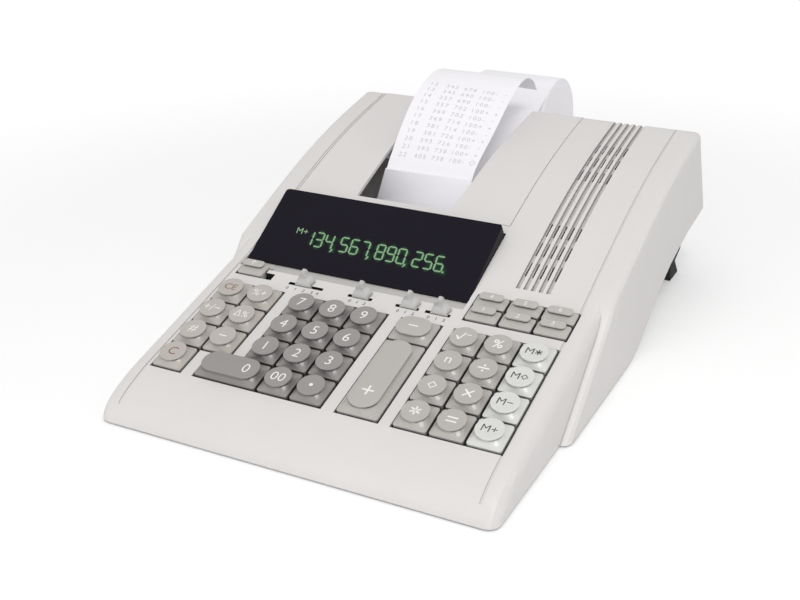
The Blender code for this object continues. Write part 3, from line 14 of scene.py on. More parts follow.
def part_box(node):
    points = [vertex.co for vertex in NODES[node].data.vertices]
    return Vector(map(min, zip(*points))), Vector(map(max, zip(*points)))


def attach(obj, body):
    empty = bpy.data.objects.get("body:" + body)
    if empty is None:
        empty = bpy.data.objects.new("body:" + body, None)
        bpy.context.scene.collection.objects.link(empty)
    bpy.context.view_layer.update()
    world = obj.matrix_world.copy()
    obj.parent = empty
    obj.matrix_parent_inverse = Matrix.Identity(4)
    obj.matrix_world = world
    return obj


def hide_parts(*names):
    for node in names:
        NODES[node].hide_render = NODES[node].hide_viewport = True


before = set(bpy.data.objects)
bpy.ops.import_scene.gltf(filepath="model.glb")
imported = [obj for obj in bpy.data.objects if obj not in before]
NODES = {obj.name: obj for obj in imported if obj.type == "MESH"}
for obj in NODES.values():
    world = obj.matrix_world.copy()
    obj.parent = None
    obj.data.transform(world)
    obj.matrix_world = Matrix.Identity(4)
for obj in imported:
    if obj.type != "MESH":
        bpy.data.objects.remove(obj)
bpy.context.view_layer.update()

bl_info = {
    "name": "Printing calculator",
    "version": (1, 0, 0),
    "blender": (4, 5, 0),
    "location": "3D View > Sidebar > Calculator",
    "description": "Builds the visible pieces of a desktop printing calculator",
    "category": "Object",
}

# Frames of the solids
DATUM_Y = -0.1700
DECK_TILT = math.radians(15.0)
DECK_Z = 0.0210
WINDOW_Y = 0.0960
WINDOW_Z = 0.0452
WINDOW_TILT = math.radians(31.7)
DECK = Matrix.Translation((0.0, DATUM_Y, DECK_Z)) @ Matrix.Rotation(DECK_TILT, 4, "X")
WINDOW = Matrix.Translation((0.0, WINDOW_Y + DATUM_Y, WINDOW_Z)) @ Matrix.Rotation(WINDOW_TILT, 4, "X")

# Key caps, heights over the deck plane
SKIRT_BOTTOM = -0.0035
SLAB_TOP = 0.0010
NECK_HEIGHT = 0.0033
RIM_HEIGHT = 0.0044
CROWN_HEIGHT = 0.0049
SLAB_CORNER = 0.0015
SLAB_TRIM = 0.0003
SLAB_EDGE = 0.00045
DISC_EDGE = 0.00028
NECK_INSET = 0.0007
CORNER_STEPS = 15
SLOPE_RINGS = 6
SLOPE_BOW = 1.7
NECK_ROUND = 0.995
CAP_WALL = 0.0013
STEM_SIDE = 0.0039
STEM_BOTTOM = -0.0140
CAP_DISH = 0.00022
DISH_RINGS = ((0.36, 0.80), (0.31, 0.72), (0.21, 0.60))
DISH_TIP = 0.12
FUNCTION_SHIFT = 0.0016
FUNCTION_DROP = 0.0009

# Buttons on the caps, width and depth; the zero key's button keeps a margin at its ends
ROUND_BUTTON = (0.0143, 0.0143)
SMALL_BUTTON = (0.0136, 0.0052)
PLUS_BUTTON = (0.0164, 0.0504)
MINUS_BUTTON = (0.0192, 0.0140)
ZERO_DEPTH = 0.0144
ZERO_MARGIN = 0.0038

# Legends, their sizes as shares of the digits' height
LEGEND_PROUD = 0.00004
LEGEND_DEEP = 0.00030
LEGEND_BOLD = -0.004
CAPITAL_SHARE = 0.69
SECOND_SHARE = 0.60
SECOND_STAR_SHARE = 0.88
SIGN_GAP = 0.16
STAR_SHARE = 1.5
SIGN_BOLD = 0.012
PLUS_SIZE = 1.6
PLUS_BACK = 0.0035
FEED_SIZE = 0.62
FUNCTION_SIZE = 0.46

# Copies of the solids: vertices this close are one, and edges this sharp are rounded
WELD = 0.00002
SHARP_FROM = math.radians(30.0)

# Places this close are the same, where faces and edges are picked
NEAR = 1e-5

# Colours of the pieces that show little
# Painted shade inside the slots
SLOT_SHADE_BLACK = "#161417"
# Painted shade on the channel's floor
CHANNEL_SHADE_GREY = "#C3C0BE"
SHEET_ZINC = "#B4B4B8"
PLATEN_BLACK = "#2A282C"
CARRIAGE_BLACK = "#2B2A2E"
GUARD_CLEAR = "#FBF9FE"
BOARD_GREEN = "#3B6B47"
CORE_BROWN = "#8A6A55"
TUBE_DARK = "#16181A"


def paint(code):
    """Turns an sRGB hex colour into linear red, green, blue and full opacity."""
    values = [int(code[place:place + 2], 16) / 255 for place in (1, 3, 5)]
    linear = [v / 12.92 if v <= 0.04045 else ((v + 0.055) / 1.055) ** 2.4 for v in values]
    return (*linear, 1.0)


def toned(colour, share, lift=0.0):
    """A colour times a share, lifted a little where asked, at full opacity."""
    return tuple(min(value * share + lift, 1.0) for value in colour[:3]) + (1.0,)


# Settings
def colour_setting(name, text, code):
    return bpy.props.FloatVectorProperty(name=name, description=text, subtype="COLOR", size=4,
                                         min=0.0, max=1.0, default=paint(code))


def length_setting(name, text, value):
    return bpy.props.FloatProperty(name=name, description=text, subtype="DISTANCE", unit="LENGTH",
                                   default=value, min=0.0, precision=5)


class HousingSettings(bpy.types.PropertyGroup):
    ivory: colour_setting("Housing", "Colour of the upper housing and the lid", "#E0DDDB")
    base: colour_setting("Base", "Colour of the lower housing and the paper holder", "#CFCDCA")
    edge: length_setting("Edge rounding", "Width of the rounding along the housing's edges", 0.00045)
    rubber: colour_setting("Feet", "Colour of the rubber feet", "#2B282C")


class KeySettings(bpy.types.PropertyGroup):
    number: colour_setting("Number keys", "Colour of the number keys", "#9A9694")
    right: colour_setting("Sign keys", "Colour of the keys to the right of the numbers", "#B9B5B1")
    left: colour_setting("Left keys", "Colour of the block of keys on the left", "#BDB8B1")
    memory: colour_setting("Memory keys", "Colour of the memory keys", "#DBDCD8")
    small: colour_setting("Small keys", "Colour of the function and feed keys", "#BFBBB7")
    knob: colour_setting("Knobs", "Colour of the switch knobs", "#C6C5C3")
    legend: colour_setting("Legends", "Colour of the light legends", "#F4F3F1")
    legend_red: colour_setting("Clear legends", "Colour of the legends on the clearing keys", "#8A5448")
    legend_dark: colour_setting("Dark legends", "Colour of the legends on the memory keys", "#3E4240")
    legend_height: length_setting("Legend height", "Height of the digits on the keys", 0.0061)


class DisplaySettings(bpy.types.PropertyGroup):
    pane: colour_setting("Pane", "Colour of the tinted pane", "#201D26")
    glow: colour_setting("Digits", "Colour of the glowing digits", "#9DBE9A")
    halo: colour_setting("Halo", "Colour of the dim light round the digits", "#33593A")
    haze: colour_setting("Haze", "Colour of the faint light between the bars", "#22352B")
    strength: bpy.props.FloatProperty(name="Glow", description="Brightness of the digits",
                                      default=1.0, min=0.0)
    digit: length_setting("Digit height", "Height of one glowing digit", 0.0098)


class PaperSettings(bpy.types.PropertyGroup):
    paper: colour_setting("Paper", "Colour of the roll paper", "#EFEDF1")
    ink: colour_setting("Print", "Colour of the faint print", "#CCCAD0")
    rows: bpy.props.IntProperty(name="Rows", description="Rows printed on the strip",
                                default=11, min=1, max=14)


class StageSettings(bpy.types.PropertyGroup):
    floor: colour_setting("Floor", "Colour of the floor", "#F4F4F4")
    lamp: bpy.props.FloatProperty(name="Lamp", description="Power of the large soft lamp", default=9.1,
                                  min=0.0, subtype="POWER", unit="POWER")


SETTINGS = {
    "calculator_housing": HousingSettings, "calculator_keys": KeySettings,
    "calculator_display": DisplaySettings, "calculator_paper": PaperSettings,
    "calculator_stage": StageSettings,
}


# Selecting and editing
def deselect():
    """Leaves edit mode and selects nothing."""
    if bpy.context.object is not None and bpy.context.object.mode != "OBJECT":
        bpy.ops.object.mode_set(mode="OBJECT")
    bpy.ops.object.select_all(action="DESELECT")


def only(piece):
    deselect()
    piece.select_set(True)
    bpy.context.view_layer.objects.active = piece


def edit(piece):
    only(piece)
    bpy.ops.object.mode_set(mode="EDIT")


def choose(kind, test):
    """Selects the vertices, edges or faces whose middle, and normal for a face, pass a test."""
    piece = bpy.context.object
    bpy.ops.mesh.select_mode(type=kind)
    bpy.ops.mesh.select_all(action="DESELECT")
    shape = bmesh.from_edit_mesh(piece.data)
    if kind == "VERT":
        for item in shape.verts:
            item.select_set(bool(test(item.co)))
    elif kind == "EDGE":
        for item in shape.edges:
            item.select_set(bool(test(item.verts[0].co, item.verts[1].co)))
    else:
        for item in shape.faces:
            item.select_set(bool(test(item.calc_center_median(), item.normal)))
    shape.select_flush_mode()
    bmesh.update_edit_mesh(piece.data)


def apply_modifier(piece, kind, **options):
    only(piece)
    modifier = piece.modifiers.new(kind.title(), kind)
    for name, value in options.items():
        setattr(modifier, name, value)
    bpy.ops.object.modifier_apply(modifier=modifier.name)


def smooth(piece, angle=30.0):
    only(piece)
    bpy.ops.object.shade_smooth_by_angle(angle=math.radians(angle))


def finished(piece, name, material, body, slot, *nodes):
    """Names a piece, gives it its material, ties it to its body and hides the solids it stands for. The
    slot is not used.
    """
    deselect()
    piece.name = name
    piece.data.name = name
    if material is not None:
        piece.data.materials.clear()
        piece.data.materials.append(material)
    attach(piece, body)
    if nodes:
        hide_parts(*nodes)
    return piece


def joined(main, extras):
    only(main)
    for extra in extras:
        extra.select_set(True)
    bpy.ops.object.join()
    return main


# Materials
def add_node(tree, kind, settings=None, links=None):
    """Adds a node, sets its values or options by name, and links its inputs."""
    node = tree.nodes.new(kind)
    for name, value in (settings or {}).items():
        if isinstance(name, int) or name in node.inputs:
            node.inputs[name].default_value = value
        else:
            setattr(node, name, value)
    for name, socket in (links or {}).items():
        tree.links.new(socket, node.inputs[name])
    return node


def new_material(name):
    """A blank material, its node tree, and the object's own coordinates for its patterns."""
    material = bpy.data.materials.new(name)
    material.use_nodes = True
    tree = material.node_tree
    tree.nodes.clear()
    return material, tree, add_node(tree, "ShaderNodeTexCoord").outputs["Object"]


# Painted shade darkens where walls stand closer than this, and a moulding's colour drifts by this share
SHADE_REACH = 0.0028
DRIFT = 0.03

# Painted light: a faint white glow on paper and on clear styrene, as if light came through them from behind
PAPER_PAINTED_GLOW = 0.09
STYRENE_PAINTED_GLOW = 0.06


def per_mm(size):
    """Noise scale, in steps per metre, for a grain of this size in millimetres."""
    return 1000.0 / size


def moulded_plastic(name, colour, roughness=0.42, grit=0.55, depth=0.00002, shade_share=0.22, unshaded=0.76,
                    reach=SHADE_REACH):
    """Injection moulded ABS or PBT. The mould was spark eroded, so the skin is a fine even grit that
    scatters highlights, and the colour drifts very slightly from place to place. Painted shade darkens
    the gaps and grooves. The real grit is about 0.1 mm, and is drawn coarser so that it shows."""
    material, tree, place = new_material(name)
    cloud = add_node(tree, "ShaderNodeTexNoise", {"Scale": per_mm(45.0), "Detail": 3.0, "Roughness": 0.6},
                     {"Vector": place})
    grain = add_node(tree, "ShaderNodeTexNoise", {"Scale": per_mm(grit), "Detail": 2.0, "Roughness": 0.6},
                     {"Vector": place})
    tint = add_node(tree, "ShaderNodeMix",
                    {"data_type": "RGBA", 6: toned(colour, 1.0 - DRIFT), 7: toned(colour, 1.0 + DRIFT)},
                    {0: cloud.outputs["Fac"]})
    # Painted shade: where ambient occlusion finds walls close, the colour darkens to a share of itself
    occlusion = add_node(tree, "ShaderNodeAmbientOcclusion", {"samples": 6, "Distance": reach})
    shade_mask = add_node(tree, "ShaderNodeMapRange", {1: 0.22, 2: unshaded}, {0: occlusion.outputs["AO"]})
    skin = add_node(tree, "ShaderNodeMix", {"data_type": "RGBA", 6: toned(colour, shade_share)},
                    {0: shade_mask.outputs[0], 7: tint.outputs[2]})
    gloss = add_node(tree, "ShaderNodeMapRange", {3: roughness - 0.05, 4: roughness + 0.05},
                     {0: grain.outputs["Fac"]})
    relief = add_node(tree, "ShaderNodeBump", {"Strength": 0.35, "Distance": depth},
                      {"Height": grain.outputs["Fac"]})
    shader = add_node(tree, "ShaderNodeBsdfPrincipled", {"Specular IOR Level": 0.4, "IOR": 1.54},
                      {"Base Color": skin.outputs[2], "Roughness": gloss.outputs[0],
                       "Normal": relief.outputs["Normal"]})
    add_node(tree, "ShaderNodeOutputMaterial", None, {"Surface": shader.outputs["BSDF"]})
    return material


def tinted_acrylic(name, colour):
    """Cast acrylic dyed violet black and polished: nearly opaque, with a clear thin reflection and
    faint wipe marks that only change the gloss."""
    material, tree, place = new_material(name)
    wipe = add_node(tree, "ShaderNodeTexNoise", {"Scale": per_mm(28.0), "Detail": 4.0, "Distortion": 1.2},
                    {"Vector": place})
    gloss = add_node(tree, "ShaderNodeMapRange", {3: 0.05, 4: 0.13}, {0: wipe.outputs["Fac"]})
    skin = add_node(tree, "ShaderNodeMix", {"data_type": "RGBA", 6: toned(colour, 0.9), 7: colour},
                    {0: wipe.outputs["Fac"]})
    shader = add_node(tree, "ShaderNodeBsdfPrincipled", {"Specular IOR Level": 0.06, "IOR": 1.49},
                      {"Base Color": skin.outputs[2], "Roughness": gloss.outputs[0]})
    add_node(tree, "ShaderNodeOutputMaterial", None, {"Surface": shader.outputs["BSDF"]})
    return material


def glowing_phosphor(name, colour, strength):
    """Zinc oxide phosphor of a vacuum fluorescent tube: an even blue green glow, a little uneven
    along each bar. The same glow paints the dim light round the bars."""
    material, tree, place = new_material(name)
    patch = add_node(tree, "ShaderNodeTexNoise", {"Scale": per_mm(0.8), "Detail": 1.0}, {"Vector": place})
    glow = add_node(tree, "ShaderNodeMix", {"data_type": "RGBA", 6: toned(colour, 0.72), 7: colour},
                    {0: patch.outputs["Fac"]})
    shader = add_node(tree, "ShaderNodeBsdfPrincipled",
                      {"Base Color": (0.0, 0.0, 0.0, 1.0), "Emission Strength": strength, "Roughness": 0.6,
                       "Specular IOR Level": 0.05}, {"Emission Color": glow.outputs[2]})
    add_node(tree, "ShaderNodeOutputMaterial", None, {"Surface": shader.outputs["BSDF"]})
    return material


def roll_paper(name, colour, rings=False):
    """Uncoated wood free paper for adding machines: matt, with a cloudy fibre look, and a faint white
    glow that is painted light, as if light from behind came through. On the roll's ends the wound
    edges show as fine rings. A real turn is 0.07 mm and is drawn coarser to show."""
    material, tree, place = new_material(name)
    if rings:
        middle = (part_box("paper_roll")[0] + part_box("paper_roll")[1]) / 2
        centred = add_node(tree, "ShaderNodeMapping", {"Location": -middle}, {"Vector": place})
        pattern = add_node(tree, "ShaderNodeTexWave",
                           {"wave_type": "RINGS", "rings_direction": "X", "Scale": per_mm(1.1) / 20.0,
                            "Distortion": 0.6, "Detail": 2.0, "Detail Scale": per_mm(6.0)},
                           {"Vector": centred.outputs["Vector"]})
    else:
        pattern = add_node(tree, "ShaderNodeTexNoise",
                           {"Scale": per_mm(0.9), "Detail": 4.0, "Roughness": 0.65}, {"Vector": place})
    shade = toned(colour, 0.985 if rings else 0.95)
    fibre = pattern.outputs["Fac"]
    skin = add_node(tree, "ShaderNodeMix", {"data_type": "RGBA", 6: shade, 7: colour}, {0: fibre})
    relief = add_node(tree, "ShaderNodeBump", {"Strength": 0.2, "Distance": 0.00001}, {"Height": fibre})
    # Painted light: a faint white glow
    shader = add_node(tree, "ShaderNodeBsdfPrincipled",
                      {"Roughness": 0.86, "Specular IOR Level": 0.2, "Emission Color": (1.0, 1.0, 1.0, 1.0),
                       "Emission Strength": PAPER_PAINTED_GLOW},
                      {"Base Color": skin.outputs[2], "Normal": relief.outputs["Normal"]})
    add_node(tree, "ShaderNodeOutputMaterial", None, {"Surface": shader.outputs["BSDF"]})
    return material


def matt_ink(name, colour, fade=0.15):
    """Printed or double shot legend: flat colour with slight uneven cover."""
    material, tree, place = new_material(name)
    cover = add_node(tree, "ShaderNodeTexNoise", {"Scale": per_mm(0.5), "Detail": 2.0}, {"Vector": place})
    thin = toned(colour, 1.0 - fade, 0.5 * fade)
    skin = add_node(tree, "ShaderNodeMix", {"data_type": "RGBA", 6: thin, 7: colour},
                    {0: cover.outputs["Fac"]})
    shader = add_node(tree, "ShaderNodeBsdfPrincipled", {"Roughness": 0.55, "Specular IOR Level": 0.3},
                      {"Base Color": skin.outputs[2]})
    add_node(tree, "ShaderNodeOutputMaterial", None, {"Surface": shader.outputs["BSDF"]})
    return material


def nitrile_rubber(name, colour):
    """Moulded nitrile rubber: dull black with a dusty bloom and fine pores."""
    material, tree, place = new_material(name)
    bloom = add_node(tree, "ShaderNodeTexNoise", {"Scale": per_mm(7.0), "Detail": 5.0}, {"Vector": place})
    skin = add_node(tree, "ShaderNodeMix", {"data_type": "RGBA", 6: colour, 7: toned(colour, 1.0, 0.02)},
                    {0: bloom.outputs["Fac"]})
    pores = add_node(tree, "ShaderNodeTexNoise", {"Scale": per_mm(0.5), "Detail": 2.0}, {"Vector": place})
    relief = add_node(tree, "ShaderNodeBump", {"Strength": 0.4, "Distance": 0.00003},
                      {"Height": pores.outputs["Fac"]})
    shader = add_node(tree, "ShaderNodeBsdfPrincipled", {"Roughness": 0.78, "Specular IOR Level": 0.25},
                      {"Base Color": skin.outputs[2], "Normal": relief.outputs["Normal"]})
    add_node(tree, "ShaderNodeOutputMaterial", None, {"Surface": shader.outputs["BSDF"]})
    return material


def rolled_steel(name, colour, stretch=(30.0, 1.0, 1.0)):
    """Zinc plated sheet steel: cold rolled, so fine lines run one way in the gloss."""
    material, tree, place = new_material(name)
    drawn = add_node(tree, "ShaderNodeMapping", {"Scale": [1.0 / value for value in stretch]},
                     {"Vector": place})
    lines = add_node(tree, "ShaderNodeTexNoise", {"Scale": per_mm(0.4), "Detail": 3.0},
                     {"Vector": drawn.outputs[0]})
    gloss = add_node(tree, "ShaderNodeMapRange", {3: 0.28, 4: 0.48}, {0: lines.outputs["Fac"]})
    skin = add_node(tree, "ShaderNodeMix", {"data_type": "RGBA", 6: toned(colour, 0.8), 7: colour},
                    {0: lines.outputs["Fac"]})
    shader = add_node(tree, "ShaderNodeBsdfPrincipled", {"Metallic": 1.0},
                      {"Base Color": skin.outputs[2], "Roughness": gloss.outputs[0]})
    add_node(tree, "ShaderNodeOutputMaterial", None, {"Surface": shader.outputs["BSDF"]})
    return material


def clear_styrene(name, colour):
    """Clear moulded polystyrene: see-through, a little hazy from handling. A faint white glow is
    painted light, so that it looks lighter than its shaded place."""
    material, tree, place = new_material(name)
    haze = add_node(tree, "ShaderNodeTexNoise", {"Scale": per_mm(9.0), "Detail": 3.0}, {"Vector": place})
    gloss = add_node(tree, "ShaderNodeMapRange", {3: 0.10, 4: 0.22}, {0: haze.outputs["Fac"]})
    skin = add_node(tree, "ShaderNodeMix", {"data_type": "RGBA", 6: toned(colour, 0.98), 7: colour},
                    {0: haze.outputs["Fac"]})
    # Painted light: a faint white glow
    shader = add_node(tree, "ShaderNodeBsdfPrincipled",
                      {"Alpha": 0.86, "IOR": 1.59, "Specular IOR Level": 0.4,
                       "Emission Color": (1.0, 1.0, 1.0, 1.0), "Emission Strength": STYRENE_PAINTED_GLOW},
                      {"Base Color": skin.outputs[2], "Roughness": gloss.outputs[0]})
    add_node(tree, "ShaderNodeOutputMaterial", None, {"Surface": shader.outputs["BSDF"]})
    return material


# Making pieces
def refined(node, width, crisp=None):
    """A copy of a rigid solid with its edges softly rounded, apart from those that the crisp test
    picks. Its flat faces aren't joined: one face around all the keys splits into wrong triangles."""
    piece = bpy.data.objects.new(node, NODES[node].data.copy())
    bpy.context.scene.collection.objects.link(piece)
    edit(piece)
    bpy.ops.mesh.select_all(action="SELECT")
    bpy.ops.mesh.remove_doubles(threshold=WELD)
    if crisp is not None:
        bpy.ops.mesh.select_mode(type="EDGE")
        bpy.ops.mesh.select_all(action="DESELECT")
        bpy.ops.mesh.edges_select_sharp(sharpness=SHARP_FROM)
        bpy.ops.transform.edge_bevelweight(value=1.0)
        choose("EDGE", crisp)
        bpy.ops.transform.edge_bevelweight(value=-1.0)
    deselect()
    if width > 0.0:
        apply_modifier(piece, "BEVEL", width=width, segments=2, limit_method="WEIGHT" if crisp else "ANGLE",
                       angle_limit=SHARP_FROM, use_clamp_overlap=True, miter_outer="MITER_ARC")
    smooth(piece, 35.0)
    apply_modifier(piece, "WEIGHTED_NORMAL", weight=60, keep_sharp=True)
    return piece


def blank():
    """Starts an empty mesh at the origin, in edit mode."""
    deselect()
    bpy.ops.mesh.primitive_plane_add(size=1.0)
    piece = bpy.context.object
    bpy.ops.object.mode_set(mode="EDIT")
    bpy.ops.mesh.select_all(action="SELECT")
    bpy.ops.mesh.delete(type="VERT")
    return piece


def pull_faces(rise, back=0.0):
    """Extrudes the selected faces upwards, and backwards where asked."""
    bpy.ops.mesh.extrude_region_move(TRANSFORM_OT_translate={"value": (0.0, back, rise)})


def pull_edges(rise):
    bpy.ops.mesh.extrude_edges_move(TRANSFORM_OT_translate={"value": (0.0, 0.0, rise)})


def plate(width, depth, corner, height):
    """Adds a flat plate with round corners in edit mode and leaves its face selected."""
    bpy.ops.mesh.primitive_plane_add(size=1.0, location=(0.0, 0.0, height))
    bpy.ops.transform.resize(value=(width, depth, 1.0), center_override=(0.0, 0.0, height))
    bpy.ops.mesh.bevel(offset=corner, segments=CORNER_STEPS, affect="VERTICES")


def key_cap(width, depth, top_width, top_depth, shift, drop, dish):
    """Models a key cap over the origin: a low slab that sweeps up to a button, hollow below."""
    cap = blank()
    plate(width - SLAB_TRIM, depth - SLAB_TRIM, SLAB_CORNER, SKIRT_BOTTOM)
    pull_faces(SLAB_TOP - SKIRT_BOTTOM)
    choose("EDGE", lambda a, b: min(a.z, b.z) > SLAB_TOP - NEAR)
    bpy.ops.mesh.bevel(offset=SLAB_EDGE, segments=3, affect="EDGES")
    choose("FACE", lambda place, normal: place.z > SLAB_TOP - NEAR)
    bpy.ops.mesh.delete(type="ONLY_FACE")
    neck_z = NECK_HEIGHT - drop
    corner = min(top_width, top_depth) / 2 - NECK_INSET
    plate(top_width - 2 * NECK_INSET, top_depth - 2 * NECK_INSET, corner * NECK_ROUND, neck_z)
    bpy.ops.transform.translate(value=(0.0, shift, 0.0))
    bpy.ops.mesh.delete(type="ONLY_FACE")

    # The slope between slab and button, which bows inwards
    choose("EDGE", lambda a, b: min(a.z, b.z) > SLAB_TOP - NEAR)
    bpy.ops.mesh.bridge_edge_loops(number_cuts=SLOPE_RINGS, interpolation="LINEAR")
    rise = neck_z - SLAB_TOP
    for ring in range(1, SLOPE_RINGS + 1):
        share = ring / (SLOPE_RINGS + 1)
        level = SLAB_TOP + rise * share
        choose("VERT", lambda place: abs(place.z - level) < rise * 0.02)
        bpy.ops.transform.translate(value=(0.0, 0.0, rise * (share ** SLOPE_BOW - share)))

    # The button
    choose("EDGE", lambda a, b: min(a.z, b.z) > neck_z - NEAR)
    pull_edges(RIM_HEIGHT - NECK_HEIGHT - DISC_EDGE)
    grow = (top_width / (top_width - 2 * NECK_INSET), top_depth / (top_depth - 2 * NECK_INSET), 1.0)
    bpy.ops.transform.resize(value=grow, center_override=(0.0, shift, RIM_HEIGHT))
    pull_edges(CROWN_HEIGHT - RIM_HEIGHT + DISC_EDGE)
    bpy.ops.mesh.edge_face_add()
    crown_z = CROWN_HEIGHT - drop
    choose("EDGE", lambda a, b: min(a.z, b.z) > crown_z - NEAR)
    bpy.ops.mesh.bevel(offset=DISC_EDGE, segments=3, affect="EDGES")
    if dish > 0.0:
        choose("FACE", lambda place, normal: normal.z > 0.999 and place.z > crown_z - NEAR)
        for share, size in DISH_RINGS:
            pull_faces(-dish * share)
            bpy.ops.transform.resize(value=(size, size, 1.0), center_override=(0.0, shift, crown_z))
        bpy.ops.mesh.poke(offset=-dish * DISH_TIP)

    # The hollow below and the stem
    choose("FACE", lambda place, normal: abs(place.z - SKIRT_BOTTOM) < NEAR)
    bpy.ops.mesh.delete(type="ONLY_FACE")
    choose("EDGE", lambda a, b: max(a.z, b.z) < SKIRT_BOTTOM + NEAR)
    bpy.ops.mesh.edge_face_add()
    bpy.ops.mesh.inset(thickness=CAP_WALL, depth=0.0)
    pull_faces(CAP_WALL * 2.5)
    middle = (0.0, 0.0, STEM_BOTTOM / 2)
    bpy.ops.mesh.primitive_cube_add(size=1.0, location=middle)
    bpy.ops.transform.resize(value=(STEM_SIDE, STEM_SIDE, -STEM_BOTTOM), center_override=middle)
    bpy.ops.mesh.select_all(action="SELECT")
    bpy.ops.mesh.normals_make_consistent(inside=False)
    smooth(cap, 32.0)
    return cap


def lettering(words, height, place, thickness=LEGEND_DEEP, bold=0.0, spacing=1.0):
    """Flat lettering of some thickness whose middle goes to the place's origin."""
    deselect()
    bpy.ops.object.text_add()
    text = bpy.context.object
    text.data.body = words
    text.data.size = 1.0
    text.data.offset = bold
    text.data.space_character = spacing
    text.data.resolution_u = 3
    text.data.extrude = thickness / 2 / height * CAPITAL_SHARE
    bpy.ops.object.convert(target="MESH")
    piece = bpy.context.object
    xs = [vertex.co.x for vertex in piece.data.vertices]
    ys = [vertex.co.y for vertex in piece.data.vertices]
    middle = ((min(xs) + max(xs)) / 2, (min(ys) + max(ys)) / 2, 0.0)
    scale = height / CAPITAL_SHARE
    piece.data.transform(place @ Matrix.Scale(scale, 4) @ Matrix.Translation([-value for value in middle]))
    return piece


def deck_span(node):
    """Middle, width and depth of a key's solid in the deck plane."""
    inverse = DECK.inverted()
    points = [inverse @ vertex.co for vertex in NODES[node].data.vertices]
    xs = [point.x for point in points]
    ss = [point.y for point in points]
    return ((min(xs) + max(xs)) / 2, (min(ss) + max(ss)) / 2, max(xs) - min(xs), max(ss) - min(ss))


def copied(source, name, matrix):
    piece = bpy.data.objects.new(name, source.data.copy())
    bpy.context.scene.collection.objects.link(piece)
    piece.data.transform(matrix)
    return piece


# Signs on the keys: the lettering, its size as a share of the digits' height, and its ink
LEGENDS = {
    "key_clear": ("C", 0.90, "red"), "key_number_sign": ("#", 0.95, "light"),
    "key_change_sign": ("+/−", 0.85, "light"), "key_clear_entry": ("CE", 0.75, "red"),
    "key_correction": ("−", 1.1, "light"), "key_delta_percent": ("Δ%", 0.75, "light"),
    "key_percent_add": ("%+", 0.80, "light"), "key_double_zero": ("00", 0.95, "light"),
    "key_point": ("•", 1.0, "light"), "key_total": ("*", 0.95, "light"),
    "key_subtotal": ("◇", 0.58, "light"), "key_item_count": ("n", 1.0, "light"),
    "key_square_root": ("√¯", 0.95, "light"), "key_equals": ("=", 1.35, "light"),
    "key_multiply": ("×", 1.45, "light"), "key_divide": ("÷", 1.5, "light"),
    "key_percent": ("%", 0.95, "light"), "key_minus": ("−", 1.3, "light"),
    "key_memory_plus": ("M+", 0.72, "dark"), "key_memory_minus": ("M−", 0.72, "dark"),
    "key_memory_subtotal": ("M|◇", 0.72, "dark"), "key_memory_total": ("M|*", 0.72, "dark"),
}
for digit in "123456789":
    LEGENDS["key_" + digit] = (digit, 1.0, "light")
LEFT_KEYS = ("key_clear", "key_number_sign", "key_change_sign", "key_clear_entry", "key_correction",
             "key_delta_percent", "key_percent_add")
MEMORY_KEYS = ("key_memory_plus", "key_memory_minus", "key_memory_subtotal", "key_memory_total")
SMALL_KEYS = tuple(f"function_key_{number}" for number in range(1, 7)) + ("feed_key",)
NUMBER_KEYS = tuple(f"key_{number}" for number in range(10)) + ("key_double_zero", "key_point")


class CALCULATOR_OT_stage(bpy.types.Operator):
    """Sets up the floor, the light and the camera"""
    bl_idname = "calculator.stage"
    bl_label = "Build stage"

    def execute(self, context):
        settings = context.scene.calculator_stage
        build_camera()
        build_light(settings)
        build_floor(settings)
        return {"FINISHED"}


# The photograph's camera: its focal length in pixels, its place, and two of its axes
SENSOR_WIDTH = 36.0
FOCAL_PIXELS = 1186.3
PHOTO_PIXELS = 800.0
CAMERA_PLACE = (0.2689, -0.5976, 0.3085)
CAMERA_RIGHT = (0.8906, 0.4547, -0.0077)
CAMERA_FORWARD = (-0.4162, 0.8080, -0.4172)


def build_camera():
    camera = bpy.data.cameras.new("camera")
    camera.sensor_width = SENSOR_WIDTH
    camera.lens = SENSOR_WIDTH * FOCAL_PIXELS / PHOTO_PIXELS
    camera.clip_start = 0.01
    camera.clip_end = 50.0
    viewer = bpy.data.objects.new("camera", camera)
    bpy.context.scene.collection.objects.link(viewer)
    right = Vector(CAMERA_RIGHT).normalized()
    forward = Vector(CAMERA_FORWARD).normalized()
    up = right.cross(forward)
    turn = Matrix((right, up, -forward)).transposed().to_4x4()
    viewer.matrix_world = Matrix.Translation(CAMERA_PLACE) @ turn
    bpy.context.scene.camera = viewer


# Light: the sky's level on the object, then each lamp's name, place, size and share of the power
SKY_LEVEL = 0.61
LAMPS = (("main_lamp", (0.62, -0.75, 1.40), 0.6, 1.0), ("fill_lamp", (0.00, -1.70, 0.75), 1.4, 0.48))
LAMP_AIM = (0.0, 0.0, 0.05)


